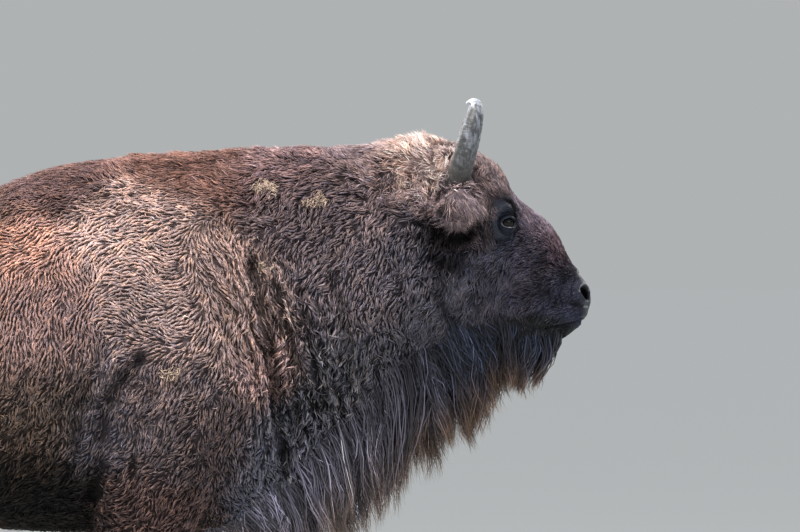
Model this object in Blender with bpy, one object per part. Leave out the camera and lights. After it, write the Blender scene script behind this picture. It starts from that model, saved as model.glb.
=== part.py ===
"""European bison cow, standing with raised head: a still, life-size model.

Every solid is the outline of the animal out to the tips of its coat. The animal faces +X, its left
side is +Y and the ground is z = 0. All sizes are in metres.
"""

import math
from typing import NamedTuple

import bmesh
import bpy
from mathutils import Euler, Matrix, Vector

GAP = 0.0003  # clearance between neighbouring solids

# Resolution of the lofts
BODY_SIDES = 24
HEAD_SIDES = 30
HAIR_SIDES = 16
LEG_SIDES = 12
TUBE_SIDES = 10
RINGS_PER_SPAN = 2

# Stance: how far each leg stands from the plan of its pair, fore and aft
LEFT_FORE_STEP = 0.075
RIGHT_FORE_STEP = 0.0
LEFT_HIND_STEP = -0.05
RIGHT_HIND_STEP = 0.05

# Eyes
EYE_RADIUS = 0.0205
EYE_PLACE = (0.986, 0.1085, 1.413)

# Hooves
CORONET_HEIGHT = 0.070
CLAW_LENGTH = 0.112
CLAW_WIDTH = 0.050
CLEFT = 0.008
DEWCLAW_LENGTH = 0.036
DEWCLAW_RADIUS = 0.013
DEWCLAW_SPREAD = 0.021


class Section(NamedTuple):
    """A cross-section of the body: it spans top to bottom in the mid-plane and is widest between."""

    top: tuple  # (x, z)
    bottom: tuple  # (x, z)
    half_width: float
    widest: float  # how high the widest level lies, 0 at the bottom and 1 at the top
    crown: float  # roundness above the widest level: 2 is an ellipse, less is a ridge
    keel: float  # the same below it


class Ring(NamedTuple):
    """A level cross-section of a limb."""

    z: float
    x: float
    y: float
    half_length: float  # fore and aft
    half_width: float


# ---- the trunk, from the tail forward ----

HINDQUARTERS = {
    "seat": Section((-1.188, 1.270), (-1.196, 1.120), 0.085, 0.50, 2.0, 2.0),
    "rump": Section((-1.158, 1.345), (-1.176, 0.980), 0.160, 0.55, 2.0, 2.0),
    "pin_bones": Section((-1.095, 1.385), (-1.110, 0.880), 0.215, 0.56, 2.1, 2.0),
    "croup": Section((-1.000, 1.402), (-0.990, 0.822), 0.248, 0.57, 2.1, 2.0),
    "hips": Section((-0.870, 1.408), (-0.850, 0.792), 0.270, 0.58, 2.1, 2.0),
    "loin": Section((-0.720, 1.408), (-0.700, 0.772), 0.276, 0.52, 2.0, 2.0),
}
BARREL = {
    "loin": HINDQUARTERS["loin"],
    "last_rib": Section((-0.540, 1.420), (-0.520, 0.738), 0.308, 0.46, 1.95, 2.1),
    "belly": Section((-0.370, 1.450), (-0.340, 0.704), 0.326, 0.44, 1.9, 2.1),
    "girth": Section((-0.228, 1.500), (-0.180, 0.684), 0.322, 0.44, 1.8, 2.1),
    "behind_shoulder": Section((-0.070, 1.553), (-0.040, 0.676), 0.306, 0.46, 1.75, 2.2),
}
SHOULDERS = {
    "behind_shoulder": BARREL["behind_shoulder"],
    "withers": Section((0.095, 1.581), (0.100, 0.676), 0.294, 0.47, 1.7, 2.2),
    "hump": Section((0.250, 1.592), (0.240, 0.680), 0.290, 0.49, 1.7, 2.2),
    "point_of_shoulder": Section((0.380, 1.599), (0.365, 0.690), 0.276, 0.50, 1.75, 2.2),
    "brisket": Section((0.480, 1.601), (0.470, 0.730), 0.250, 0.51, 1.8, 2.1),
}
NECK = {
    "brisket": SHOULDERS["brisket"],
    "neck_base": Section((0.570, 1.601), (0.580, 0.815), 0.226, 0.52, 1.9, 2.0),
    "neck": Section((0.660, 1.604), (0.690, 0.930), 0.204, 0.53, 2.0, 2.0),
    "nape": Section((0.735, 1.620), (0.785, 1.030), 0.188, 0.54, 2.0, 2.0),
    "behind_poll": Section((0.792, 1.627), (0.848, 1.084), 0.172, 0.55, 2.0, 2.0),
}
HEAD = {
    "behind_poll": NECK["behind_poll"],
    "poll": Section((0.845, 1.619), (0.884, 1.103), 0.160, 0.56, 2.1, 2.1),
    "horn_line": Section((0.895, 1.597), (0.918, 1.114), 0.152, 0.60, 2.2, 2.1),
    "forehead": Section((0.937, 1.570), (0.950, 1.121), 0.144, 0.66, 2.2, 2.1),
    "brow": Section((0.976, 1.536), (0.978, 1.126), 0.134, 0.73, 2.2, 2.1),
    "eyes": Section((1.001, 1.494), (1.000, 1.129), 0.124, 0.79, 2.3, 1.9),
    "tear_pit": Section((1.024, 1.462), (1.022, 1.131), 0.107, 0.74, 2.2, 1.9),
    "bridge": Section((1.057, 1.439), (1.044, 1.131), 0.093, 0.66, 2.1, 2.0),
    "nasal": Section((1.094, 1.408), (1.066, 1.131), 0.083, 0.57, 2.1, 2.1),
    "whiskers": Section((1.121, 1.366), (1.088, 1.131), 0.075, 0.48, 2.1, 2.2),
    "nose_hair": Section((1.136, 1.333), (1.107, 1.132), 0.068, 0.46, 2.2, 2.3),
    "nose_pad": Section((1.154, 1.308), (1.125, 1.138), 0.063, 0.52, 2.4, 2.3),
    "nostrils": Section((1.172, 1.286), (1.140, 1.148), 0.060, 0.60, 2.6, 2.2),
    "upper_lip": Section((1.184, 1.269), (1.154, 1.160), 0.054, 0.60, 2.5, 2.1),
    "muzzle": Section((1.190, 1.252), (1.172, 1.178), 0.042, 0.56, 2.3, 2.1),
    "muzzle_front": Section((1.1925, 1.241), (1.182, 1.196), 0.026, 0.54, 2.2, 2.1),
    "muzzle_end": Section((1.1935, 1.228), (1.187, 1.210), 0.008, 0.52, 2.0, 2.0),
}
# The long hair of the throat and chin, which hangs below neck and jaw
THROAT_MANE = {
    "brisket": Section((0.330, 0.850), (0.345, 0.668), 0.085, 0.75, 2.0, 1.3),
    "chest_lock": Section((0.430, 0.900), (0.440, 0.612), 0.105, 0.75, 2.0, 1.3),
    "dewlap": Section((0.545, 0.960), (0.560, 0.592), 0.095, 0.72, 2.0, 1.3),
    "throat": Section((0.650, 1.040), (0.665, 0.640), 0.080, 0.72, 2.0, 1.3),
    "fringe": Section((0.730, 1.090), (0.742, 0.745), 0.064, 0.74, 2.0, 1.3),
    "throat_front": Section((0.800, 1.110), (0.786, 0.800), 0.040, 0.76, 2.0, 1.3),
}
BEARD = {
    "throat_latch": Section((0.780, 1.180), (0.828, 0.822), 0.040, 0.78, 2.0, 1.3),
    "cheek_lock": Section((0.850, 1.190), (0.868, 0.862), 0.062, 0.78, 2.0, 1.3),
    "jaw": Section((0.905, 1.200), (0.928, 0.922), 0.066, 0.78, 2.0, 1.3),
    "chin_lock": Section((0.975, 1.200), (0.990, 0.974), 0.060, 0.76, 2.0, 1.3),
    "chin": Section((1.040, 1.190), (1.052, 1.010), 0.050, 0.72, 2.0, 1.35),
    "beard_front": Section((1.072, 1.170), (1.086, 1.068), 0.034, 0.66, 2.0, 1.6),
    "beard_end": Section((1.086, 1.160), (1.096, 1.112), 0.016, 0.60, 2.0, 1.8),
}

# ---- limbs, from the trunk down; y is the distance from the mid-plane ----

FORE_LEG = {
    "shoulder_blade": Ring(1.230, 0.250, 0.185, 0.070, 0.045),
    "shoulder": Ring(1.130, 0.248, 0.190, 0.140, 0.088),
    "upper_arm": Ring(1.010, 0.232, 0.194, 0.172, 0.104),
    "arm": Ring(0.900, 0.200, 0.192, 0.164, 0.106),
    "elbow": Ring(0.800, 0.162, 0.188, 0.144, 0.099),
    "forearm_top": Ring(0.700, 0.141, 0.178, 0.126, 0.085),
    "forearm": Ring(0.615, 0.135, 0.168, 0.103, 0.072),
    "above_knee": Ring(0.520, 0.137, 0.160, 0.072, 0.058),
    "knee": Ring(0.440, 0.142, 0.156, 0.058, 0.055),
    "below_knee": Ring(0.385, 0.137, 0.154, 0.047, 0.046),
    "cannon": Ring(0.290, 0.133, 0.152, 0.038, 0.036),
    "above_fetlock": Ring(0.200, 0.132, 0.151, 0.039, 0.038),
    "fetlock": Ring(0.150, 0.136, 0.151, 0.049, 0.048),
    "pastern": Ring(0.105, 0.150, 0.151, 0.043, 0.046),
    "coronet": Ring(CORONET_HEIGHT, 0.160, 0.151, 0.050, 0.053),
}
HIND_LEG = {
    "hip": Ring(1.270, -0.960, 0.145, 0.090, 0.050),
    "thigh_top": Ring(1.150, -0.955, 0.160, 0.175, 0.092),
    "thigh": Ring(1.020, -0.945, 0.166, 0.214, 0.106),
    "stifle": Ring(0.900, -0.935, 0.164, 0.204, 0.099),
    "below_stifle": Ring(0.800, -0.958, 0.158, 0.162, 0.083),
    "gaskin": Ring(0.700, -1.008, 0.152, 0.116, 0.065),
    "above_hock": Ring(0.610, -1.056, 0.148, 0.086, 0.051),
    "hock": Ring(0.535, -1.080, 0.146, 0.073, 0.046),
    "below_hock": Ring(0.460, -1.080, 0.145, 0.055, 0.043),
    "cannon": Ring(0.360, -1.072, 0.144, 0.042, 0.038),
    "above_fetlock": Ring(0.210, -1.054, 0.143, 0.040, 0.038),
    "fetlock": Ring(0.150, -1.046, 0.143, 0.049, 0.047),
    "pastern": Ring(0.105, -1.032, 0.143, 0.043, 0.046),
    "coronet": Ring(CORONET_HEIGHT, -1.022, 0.143, 0.050, 0.052),
}

# ---- round parts: (point on the right-hand path with y outward, radius) ----

HORN = (
    ((0.868, 0.085, 1.488), 0.0300),
    ((0.875, 0.135, 1.515), 0.0290),
    ((0.884, 0.176, 1.556), 0.0280),
    ((0.894, 0.202, 1.600), 0.0268),
    ((0.903, 0.210, 1.642), 0.0242),
    ((0.910, 0.200, 1.674), 0.0192),
    ((0.909, 0.182, 1.693), 0.0134),
    ((0.899, 0.164, 1.700), 0.0078),
    ((0.888, 0.152, 1.700), 0.0024),
)
EAR = (  # half height and half thickness in place of a radius
    ((0.918, 0.100, 1.440), 0.026, 0.024),
    ((0.903, 0.145, 1.452), 0.038, 0.026),
    ((0.882, 0.186, 1.457), 0.051, 0.024),
    ((0.858, 0.220, 1.452), 0.046, 0.019),
    ((0.838, 0.246, 1.443), 0.027, 0.013),
    ((0.829, 0.257, 1.438), 0.010, 0.006),
)
TAIL = (
    ((-1.120, 0.0, 1.335), 0.040),
    ((-1.180, 0.0, 1.318), 0.042),
    ((-1.216, 0.0, 1.245), 0.036),
    ((-1.228, 0.0, 1.130), 0.030),
    ((-1.230, 0.0, 1.010), 0.027),
    ((-1.228, 0.0, 0.900), 0.028),
)
TAIL_TUFT = (
    ((-1.228, 0.0, 0.904), 0.026),
    ((-1.227, 0.0, 0.820), 0.040),
    ((-1.225, 0.0, 0.740), 0.045),
    ((-1.223, 0.0, 0.660), 0.036),
    ((-1.222, 0.0, 0.600), 0.012),
)

MATERIALS = {  # colour, roughness, metallic
    "coat": ((0.150, 0.098, 0.072, 1.0), 0.95, 0.0),
    "face_coat": ((0.070, 0.048, 0.042, 1.0), 0.95, 0.0),
    "mane": ((0.085, 0.058, 0.046, 1.0), 0.90, 0.0),
    "horn": ((0.330, 0.315, 0.300, 1.0), 0.50, 0.0),
    "hoof": ((0.030, 0.026, 0.024, 1.0), 0.45, 0.0),
    "eye": ((0.012, 0.008, 0.007, 1.0), 0.08, 0.0),
}


def clear_scene():
    for obj in list(bpy.data.objects):
        bpy.data.objects.remove(obj, do_unlink=True)


def material(name):
    """The named finish, made once."""
    found = bpy.data.materials.get(name)
    if found:
        return found
    colour, roughness, metallic = MATERIALS[name]
    made = bpy.data.materials.new(name)
    made.use_nodes = True
    shader = made.node_tree.nodes["Principled BSDF"]
    shader.inputs["Base Color"].default_value = colour
    shader.inputs["Roughness"].default_value = roughness
    shader.inputs["Metallic"].default_value = metallic
    made.diffuse_color = colour
    return made


def collection(name):
    """The named collection under the scene's, made once."""
    found = bpy.data.collections.get(name)
    if not found:
        found = bpy.data.collections.new(name)
        bpy.context.scene.collection.children.link(found)
    return found


def add_object(name, bm, finish=None):
    """Turns a bmesh into an object: a part with a finish, or a hidden cutter without one."""
    bmesh.ops.recalc_face_normals(bm, faces=bm.faces)
    mesh = bpy.data.meshes.new(name)
    bm.to_mesh(mesh)
    bm.free()
    obj = bpy.data.objects.new(name, mesh)
    collection("bison" if finish else "cutters").objects.link(obj)
    if finish:
        mesh.materials.append(material(finish))
        mesh.shade_smooth()
    else:
        obj.hide_render = True
        obj.display_type = "WIRE"
    return obj


def cut(obj, *cutters):
    """Takes the cutters' space out of obj."""
    for cutter in cutters:
        modifier = obj.modifiers.new("cut_" + cutter.name, "BOOLEAN")
        modifier.operation = "DIFFERENCE"
        modifier.solver = "EXACT"
        modifier.object = cutter


def flat(values):
    """The numbers of a nested tuple in one list."""
    found = []
    for value in values:
        found += flat(value) if isinstance(value, tuple) else [value]
    return found


def between(before, start, end, after, t):
    """The value at t, from 0 at start to 1 at end, on a Catmull-Rom curve through four values."""
    slope = end - before
    curve = 2 * before - 5 * start + 4 * end - after
    twist = 3 * start - before - 3 * end + after
    return 0.5 * (2 * start + slope * t + curve * t**2 + twist * t**3)


def smooth_rows(rows, per_span):
    """Rows of numbers with per_span - 1 more rows curving smoothly between each two."""
    rows = [flat(row) for row in rows]
    ended = [rows[0], *rows, rows[-1]]
    made = []
    for four_rows in zip(ended, ended[1:], ended[2:], ended[3:]):
        for step in range(per_span):
            made.append([between(*values, step / per_span) for values in zip(*four_rows)])
    return made + [rows[-1]]


def bend(value, roundness):
    """A sine or cosine on a superellipse of that roundness."""
    return math.copysign(abs(value) ** (2 / roundness), value)


def section_points(row, sides):
    """The points round one body section, which lies in the plane of its top, its bottom and Y."""
    top_x, top_z, bottom_x, bottom_z, half_width, widest, crown, keel = row
    top, bottom = Vector((top_x, 0, top_z)), Vector((bottom_x, 0, bottom_z))
    up = (top - bottom).normalized()
    centre = bottom.lerp(top, widest)
    above, below = (top - centre).length, (centre - bottom).length
    points = []
    for side in range(sides):
        angle = 2 * math.pi * side / sides
        roundness = crown if math.cos(angle) > 0 else keel
        height = bend(math.cos(angle), roundness) * (above if math.cos(angle) > 0 else below)
        points.append(centre + up * height + Vector((0, half_width * bend(math.sin(angle), roundness), 0)))
    return points


def loft(rings):
    """A bmesh of one closed skin through rings of points, capped flat at both ends."""
    bm = bmesh.new()
    loops = [[bm.verts.new(point) for point in ring] for ring in rings]
    for first, second in zip(loops, loops[1:]):
        for i in range(len(first)):
            bm.faces.new((first[i - 1], first[i], second[i]))
            bm.faces.new((first[i - 1], second[i], second[i - 1]))
    bm.faces.new(loops[0])
    bm.faces.new(loops[-1])
    return bm


def body_loft(sections, before=(), after=(), sides=BODY_SIDES, per_span=RINGS_PER_SPAN):
    """A loft through the body sections. The neighbours' sections before and after bend its ends alike."""
    rows = smooth_rows([*before, *sections.values(), *after], per_span)
    first = len(before) * per_span
    last = first + (len(sections) - 1) * per_span
    return loft([section_points(row, sides) for row in rows[first : last + 1]])


def fattened(bm, amount=GAP):
    """The same shape, grown by amount all round."""
    bmesh.ops.recalc_face_normals(bm, faces=bm.faces)
    moves = [vert.normal * (amount * vert.calc_shell_factor()) for vert in bm.verts]
    for vert, move in zip(bm.verts, moves):
        vert.co += move
    return bm


def pull_back(bm, ring_x_sign):
    """Draws one end cap inwards by half the gap, so that it clears the neighbour's cap."""
    caps = [face for face in bm.faces if len(face.verts) > 3]
    for face in caps:
        face.normal_update()
        centre = face.calc_center_median()
        body_centre = sum((v.co for v in bm.verts), Vector()) / len(bm.verts)
        if (centre.x - body_centre.x) * ring_x_sign > 0:
            outward = face.normal if face.normal.dot(centre - body_centre) > 0 else -face.normal
            for vert in face.verts:
                vert.co -= outward * (GAP / 2)


def limb_points(row, side, step):
    """The points round one level ring of a leg on the given side, +1 left or -1 right."""
    z, x, y, half_length, half_width = row
    points = []
    for i in range(LEG_SIDES):
        angle = 2 * math.pi * i / LEG_SIDES
        across = half_width * math.sin(angle)
        along = half_length * math.cos(angle)
        points.append(Vector((x + step + along, side * y + across, z)))
    return points


def limb_loft(rings, side, step):
    """A leg: level rings from the trunk down to the coronet. Its stance step fades out up the leg."""
    rows = [flat(ring) for ring in rings.values()]
    highest = rows[0][0]
    made = []
    for row in rows:
        share = min(1.0, (highest - row[0]) / (highest - CORONET_HEIGHT))
        made.append(limb_points(row, side, step * share))
    return loft(made)


def tube_rings(path, sides, side=1):
    """Rings square to a path of (point, half height, half thickness) rows."""
    points = [Vector((x, side * y, z)) for x, y, z in (row[0] for row in path)]
    up = Vector((0, 0, 1))
    rings = []
    for i, centre in enumerate(points):
        forward = (points[min(i + 1, len(points) - 1)] - points[max(i - 1, 0)]).normalized()
        up = (up - forward * up.dot(forward)).normalized()
        across = forward.cross(up)
        high, thick = path[i][1], path[i][-1]
        ring = []
        for k in range(sides):
            angle = 2 * math.pi * k / sides
            ring.append(centre + up * (high * math.cos(angle)) + across * (thick * math.sin(angle)))
        rings.append(ring)
    return rings


def tapered_tube(path, side=1, sides=TUBE_SIDES):
    """A closed tube of varying size along the path."""
    return loft(tube_rings(path, sides, side))


def swell(bm, centre, radius, push):
    """Moves the surface near centre by push, fading out to nothing at radius. Both sides move alike."""
    for mirror in (1, -1):
        middle = Vector((centre[0], mirror * centre[1], centre[2]))
        move = Vector((push[0], mirror * push[1], push[2]))
        for vert in bm.verts:
            reach = (vert.co - middle).length / radius
            if reach < 1:
                vert.co += move * (1 - reach * reach) ** 2
        if centre[1] == 0:
            break


# Facial forms: (centre, radius, push)
FACE_FORMS = {
    "brow_ridge": ((0.978, 0.120, 1.462), 0.055, (0.003, 0.010, 0.002)),
    "eye_socket": ((0.996, 0.122, 1.411), 0.042, (-0.005, -0.015, 0.000)),
    "cheekbone": ((0.955, 0.122, 1.360), 0.060, (0.000, 0.008, 0.000)),
    "jaw_muscle": ((0.915, 0.130, 1.240), 0.090, (0.000, 0.010, 0.000)),
    "tear_hollow": ((1.035, 0.088, 1.365), 0.055, (0.000, -0.008, 0.000)),
    "whisker_pad": ((1.135, 0.050, 1.200), 0.050, (0.003, 0.007, 0.000)),
    "nostril_wing": ((1.166, 0.048, 1.256), 0.034, (0.003, 0.006, 0.003)),
    "lip_notch": ((1.176, 0.0, 1.186), 0.022, (-0.007, 0.0, 0.0)),
}


def head_loft():
    """The head, with its facial forms pushed out and in."""
    bm = body_loft(HEAD, before=[NECK["nape"]], sides=HEAD_SIDES)
    for centre, radius, push in FACE_FORMS.values():
        swell(bm, centre, radius, push)
    return bm


def ball(centre, radius, stretch=(1, 1, 1), turn=(0, 0, 0), segments=12, rings=8):
    """A sphere, stretched along its own axes and then turned."""
    bm = bmesh.new()
    bmesh.ops.create_uvsphere(bm, u_segments=segments, v_segments=rings, radius=radius)
    place = Matrix.LocRotScale(centre, Euler(turn), stretch)
    bmesh.ops.transform(bm, matrix=place, verts=bm.verts)
    return bm


# ---- nostrils and mouth ----

NOSTRIL_PLACE = (1.184, 0.038, 1.243)
NOSTRIL_RADIUS = 0.0150
NOSTRIL_SPLAY = math.radians(-38)
NOSTRIL_PITCH = math.radians(-20)
MOUTH_FRONT = (1.165, 1.186)
MOUTH_CORNER = (1.082, 1.170)
MOUTH_GAPE = 0.0025


def nostril_cutter(name, side):
    """An oval hollow that opens forwards and outwards."""
    x, y, z = NOSTRIL_PLACE
    turn = (side * NOSTRIL_SPLAY, NOSTRIL_PITCH, 0)
    bm = ball((x, side * y, z), NOSTRIL_RADIUS, (1.1, 0.62, 1.2), turn, segments=10, rings=7)
    return add_object(name, bm)


def mouth_cutter():
    """A thin wedge from the corner of the mouth to beyond the lips."""
    corner_x, corner_z = MOUTH_CORNER
    front_x, front_z = MOUTH_FRONT
    reach = 0.05
    half_span = 0.09
    profile = (
        (corner_x, corner_z),
        (front_x + reach, front_z - MOUTH_GAPE),
        (front_x + reach, front_z + MOUTH_GAPE),
    )
    bm = bmesh.new()
    face = bm.faces.new([bm.verts.new((x, -half_span, z)) for x, z in profile])
    side = bmesh.ops.extrude_face_region(bm, geom=[face])
    verts = [item for item in side["geom"] if isinstance(item, bmesh.types.BMVert)]
    bmesh.ops.translate(bm, verts=verts, vec=(0, 2 * half_span, 0))
    return add_object("mouth_cutter", bm)


# ---- feet ----


def claw_outline():
    """The outer half of a claw's sole from toe to heel: (forward, outward) from the cleft's wall."""
    steps = 7
    outline = []
    for i in reversed(range(steps)):
        angle = math.pi / 2 * i / (steps - 1)
        outline.append((CLAW_LENGTH / 2 * math.sin(angle) ** 0.8, CLAW_WIDTH * math.cos(angle) ** 0.7))
    outline.append((-0.30 * CLAW_LENGTH, 0.98 * CLAW_WIDTH))
    outline.append((-0.45 * CLAW_LENGTH, 0.72 * CLAW_WIDTH))
    outline.append((-0.50 * CLAW_LENGTH, 0.0))
    return outline


def claw(centre_x, centre_y, side_out):
    """One half of a cloven hoof: a flat sole, a wall leaning back and a rounded toe."""
    levels = (  # height, length scale, width scale, shift back
        (0.0, 1.00, 1.00, 0.000),
        (0.004, 1.03, 1.03, 0.000),
        (CORONET_HEIGHT * 0.5, 0.93, 0.98, 0.012),
        (CORONET_HEIGHT - GAP, 0.76, 0.90, 0.026),
    )
    rings = []
    for z, long, wide, back in levels:
        ring = []
        for forward, outward in claw_outline():
            y = centre_y + side_out * (CLEFT / 2 + outward * wide)
            ring.append(Vector((centre_x + forward * long - back, y, z)))
        rings.append(ring)
    return loft(rings)


def dewclaw_path(leg, step, side, offset):
    """A short stub behind the fetlock, on one side of it."""
    ring = leg["fetlock"]
    x = ring.x + step - ring.half_length
    y = side * ring.y + offset
    return (
        ((x + 0.016, y, ring.z - 0.004), DEWCLAW_RADIUS),
        ((x + 0.002, y, ring.z - 0.012), DEWCLAW_RADIUS * 0.95),
        ((x - 0.008, y, ring.z - 0.012 - DEWCLAW_LENGTH * 0.6), DEWCLAW_RADIUS * 0.55),
    )


def build_foot(prefix, rings, side, step, leg_cutters):
    """The two claws and two dewclaws of one foot."""
    coronet = rings["coronet"]
    toe_shift = 0.014
    for place, out in (("outer", side), ("inner", -side)):
        centre_x = coronet.x + step + toe_shift
        add_object(f"{prefix}_claw_{place}", claw(centre_x, side * coronet.y, out), "hoof")
        path = dewclaw_path(rings, step, side, out * DEWCLAW_SPREAD)
        name = f"{prefix}_dewclaw_{place}"
        add_object(name, tapered_tube(path, sides=8), "hoof")
        leg_cutters.append(add_object(name + "_cutter", fattened(tapered_tube(path, sides=8))))


# ---- the whole animal ----


def build_legs():
    """Four legs with their feet, and the cutters that make room for them in the trunk."""
    fore_cutters, hind_cutters = [], []
    steps = {
        ("fore", 1): LEFT_FORE_STEP,
        ("fore", -1): RIGHT_FORE_STEP,
        ("hind", 1): LEFT_HIND_STEP,
        ("hind", -1): RIGHT_HIND_STEP,
    }
    for pair, rings, cutters in (("fore", FORE_LEG, fore_cutters), ("hind", HIND_LEG, hind_cutters)):
        for side, side_name in ((1, "left"), (-1, "right")):
            step = steps[pair, side]
            prefix = f"{side_name}_{pair}"
            leg = add_object(f"{prefix}_leg", limb_loft(rings, side, step), "coat")
            cutters.append(add_object(f"{prefix}_leg_cutter", fattened(limb_loft(rings, side, step))))
            leg_cutters = []
            build_foot(prefix, rings, side, step, leg_cutters)
            cut(leg, *leg_cutters)
    return fore_cutters, hind_cutters


def build_trunk(fore_cutters, hind_cutters):
    """Hindquarters, barrel, shoulders and neck, parted by thin level gaps."""
    tail = add_object("tail", tapered_tube(TAIL), "coat")
    tuft = add_object("tail_tuft", tapered_tube(TAIL_TUFT), "mane")
    tail_cutter = add_object("tail_cutter", fattened(tapered_tube(TAIL)))
    cut(tuft, tail_cutter)
    hind = body_loft(HINDQUARTERS, after=[BARREL["last_rib"]])
    barrel = body_loft(BARREL, [HINDQUARTERS["hips"]], [SHOULDERS["withers"]])
    shoulders = body_loft(SHOULDERS, [BARREL["girth"]], [NECK["neck_base"]])
    neck = body_loft(NECK, [SHOULDERS["point_of_shoulder"]], [HEAD["poll"]])
    pull_back(hind, 1)
    for bm in (barrel, shoulders, neck):
        pull_back(bm, 1)
        pull_back(bm, -1)
    cut(add_object("hindquarters", hind, "coat"), *hind_cutters, tail_cutter)
    cut(add_object("barrel", barrel, "coat"), *fore_cutters, *hind_cutters)
    cut(add_object("shoulders", shoulders, "coat"), *fore_cutters)
    add_object("neck", neck, "coat")
    return tail


def build_head():
    """The head with its horns, ears and eyes let in."""
    bm = head_loft()
    pull_back(bm, -1)
    head = add_object("head", bm, "face_coat")
    cutters = [mouth_cutter()]
    for side, side_name in ((1, "left"), (-1, "right")):
        x, y, z = EYE_PLACE
        place = (x, side * y, z)
        add_object(f"{side_name}_eye", ball(place, EYE_RADIUS), "eye")
        add_object(f"{side_name}_horn", tapered_tube(HORN, side), "horn")
        add_object(f"{side_name}_ear", tapered_tube(EAR, side), "face_coat")
        cutters += [
            add_object(f"{side_name}_eye_cutter", fattened(ball(place, EYE_RADIUS))),
            add_object(f"{side_name}_horn_cutter", fattened(tapered_tube(HORN, side))),
            add_object(f"{side_name}_ear_cutter", fattened(tapered_tube(EAR, side))),
            nostril_cutter(f"{side_name}_nostril_cutter", side),
        ]
    cut(head, *cutters)


def build_long_hair():
    """Beard and throat mane, fitted up against jaw, neck and chest."""
    mane = add_object("throat_mane", body_loft(THROAT_MANE, sides=HAIR_SIDES, per_span=1), "mane")
    beard = add_object("beard", body_loft(BEARD, sides=HAIR_SIDES, per_span=1), "mane")
    neck = body_loft(NECK, [SHOULDERS["point_of_shoulder"]], [HEAD["poll"]])
    chest = body_loft(SHOULDERS, [BARREL["girth"]], [NECK["neck_base"]])
    neck_cutter = add_object("neck_cutter", fattened(neck))
    chest_cutter = add_object("chest_cutter", fattened(chest))
    head_cutter = add_object("head_cutter", fattened(head_loft()))
    beard_cutter = add_object("beard_cutter", fattened(body_loft(BEARD, sides=HAIR_SIDES, per_span=1)))
    cut(beard, head_cutter, neck_cutter)
    cut(mane, neck_cutter, chest_cutter, head_cutter, beard_cutter)


def centre_over_origin():
    """Moves everything so that the origin is on the ground, midway along and across the animal."""
    bpy.context.view_layer.update()
    graph = bpy.context.evaluated_depsgraph_get()
    xs, ys = [], []
    for obj in collection("bison").objects:
        evaluated = obj.evaluated_get(graph)
        for vert in evaluated.to_mesh().vertices:
            xs.append(vert.co.x)
            ys.append(vert.co.y)
        evaluated.to_mesh_clear()
    shift = Matrix.Translation((-(min(xs) + max(xs)) / 2, -(min(ys) + max(ys)) / 2, 0))
    for obj in bpy.data.objects:
        obj.data.transform(shift)


def main():
    clear_scene()
    fore_cutters, hind_cutters = build_legs()
    build_trunk(fore_cutters, hind_cutters)
    build_head()
    build_long_hair()
    centre_over_origin()


main()
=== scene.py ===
"""European bison cow: skin, coat, eyes, horns and hooves, dressed over the solids of the frame.

The solids give the outline of the animal out to the tips of its coat. One skin replaces the solids of
flesh and lies inside them by the depth of the coat. Wool, short hair and long hair are solid locks that
root in that skin. All lengths are in metres; the animal faces +X and its left side is +Y.
"""

import math
from typing import NamedTuple

import bmesh
import bpy
import numpy as np
from mathutils import Matrix, Vector, kdtree


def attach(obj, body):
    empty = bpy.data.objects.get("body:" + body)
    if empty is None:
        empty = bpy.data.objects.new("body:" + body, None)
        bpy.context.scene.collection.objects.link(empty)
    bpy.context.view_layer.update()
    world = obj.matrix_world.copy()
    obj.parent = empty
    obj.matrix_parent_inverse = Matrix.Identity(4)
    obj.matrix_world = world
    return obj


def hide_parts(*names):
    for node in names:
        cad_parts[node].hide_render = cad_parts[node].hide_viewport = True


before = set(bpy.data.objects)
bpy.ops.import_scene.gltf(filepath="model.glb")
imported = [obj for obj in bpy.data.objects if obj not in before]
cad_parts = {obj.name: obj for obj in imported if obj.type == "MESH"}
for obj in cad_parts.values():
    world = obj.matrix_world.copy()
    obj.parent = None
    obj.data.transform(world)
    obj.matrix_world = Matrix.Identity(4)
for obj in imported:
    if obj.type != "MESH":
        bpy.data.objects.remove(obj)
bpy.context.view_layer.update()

bl_info = {
    "name": "European Bison",
    "version": (1, 0, 0),
    "blender": (4, 5, 0),
    "location": "3D View > Sidebar > Bison",
    "description": "Dresses a standing European bison cow in skin, wool and long hair",
    "category": "Object",
}

LEGS = ("left_fore", "right_fore", "left_hind", "right_hind")
FLESH = (
    "head",
    "neck",
    "shoulders",
    "barrel",
    "hindquarters",
    "tail",
    "left_ear",
    "right_ear",
    *(leg + "_leg" for leg in LEGS),
)

# ---- where things are; y is the distance from the mid-plane ----

EYE_CENTRE = (1.0290, 0.1085, 1.4165)
EYE_RADIUS = 0.0205
EYE_AXIS = (0.40, 0.915, 0.04)  # out of the socket
EYE_GAZE = (0.38, 0.87, 0.30)
EYE_SLIT = (0.0180, 0.0122, 0.0098)  # between the lids: half length, height above and below
IRIS_RIM = (0.0162, 0.0175)  # distance from the gaze where the white begins to show, and where it is all
PUPIL = (0.0095, 0.0060)  # half width and half height
CORNEA = (0.0145, 0.0016)  # radius, and how far it stands proud of the ball
LID_GAP = 0.0040  # between the eyeball and the outside of a lid
UPPER_LID_CREASES = (  # depth, distance out and width, the last two in slits
    (0.0046, 1.62, 0.11),
    (0.0040, 2.08, 0.12),
    (0.0030, 2.60, 0.13),
)
LOWER_LID_CREASES = ((0.0030, 1.60, 0.12), (0.0026, 2.15, 0.14))
EYE_PATCH = ((1.017, 1.424), (0.039, 0.057))  # hairless skin round the eye: centre and half size
TEAR_LINE = ((1.047, 1.400), (1.044, 1.385), (1.036, 1.368))
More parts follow.
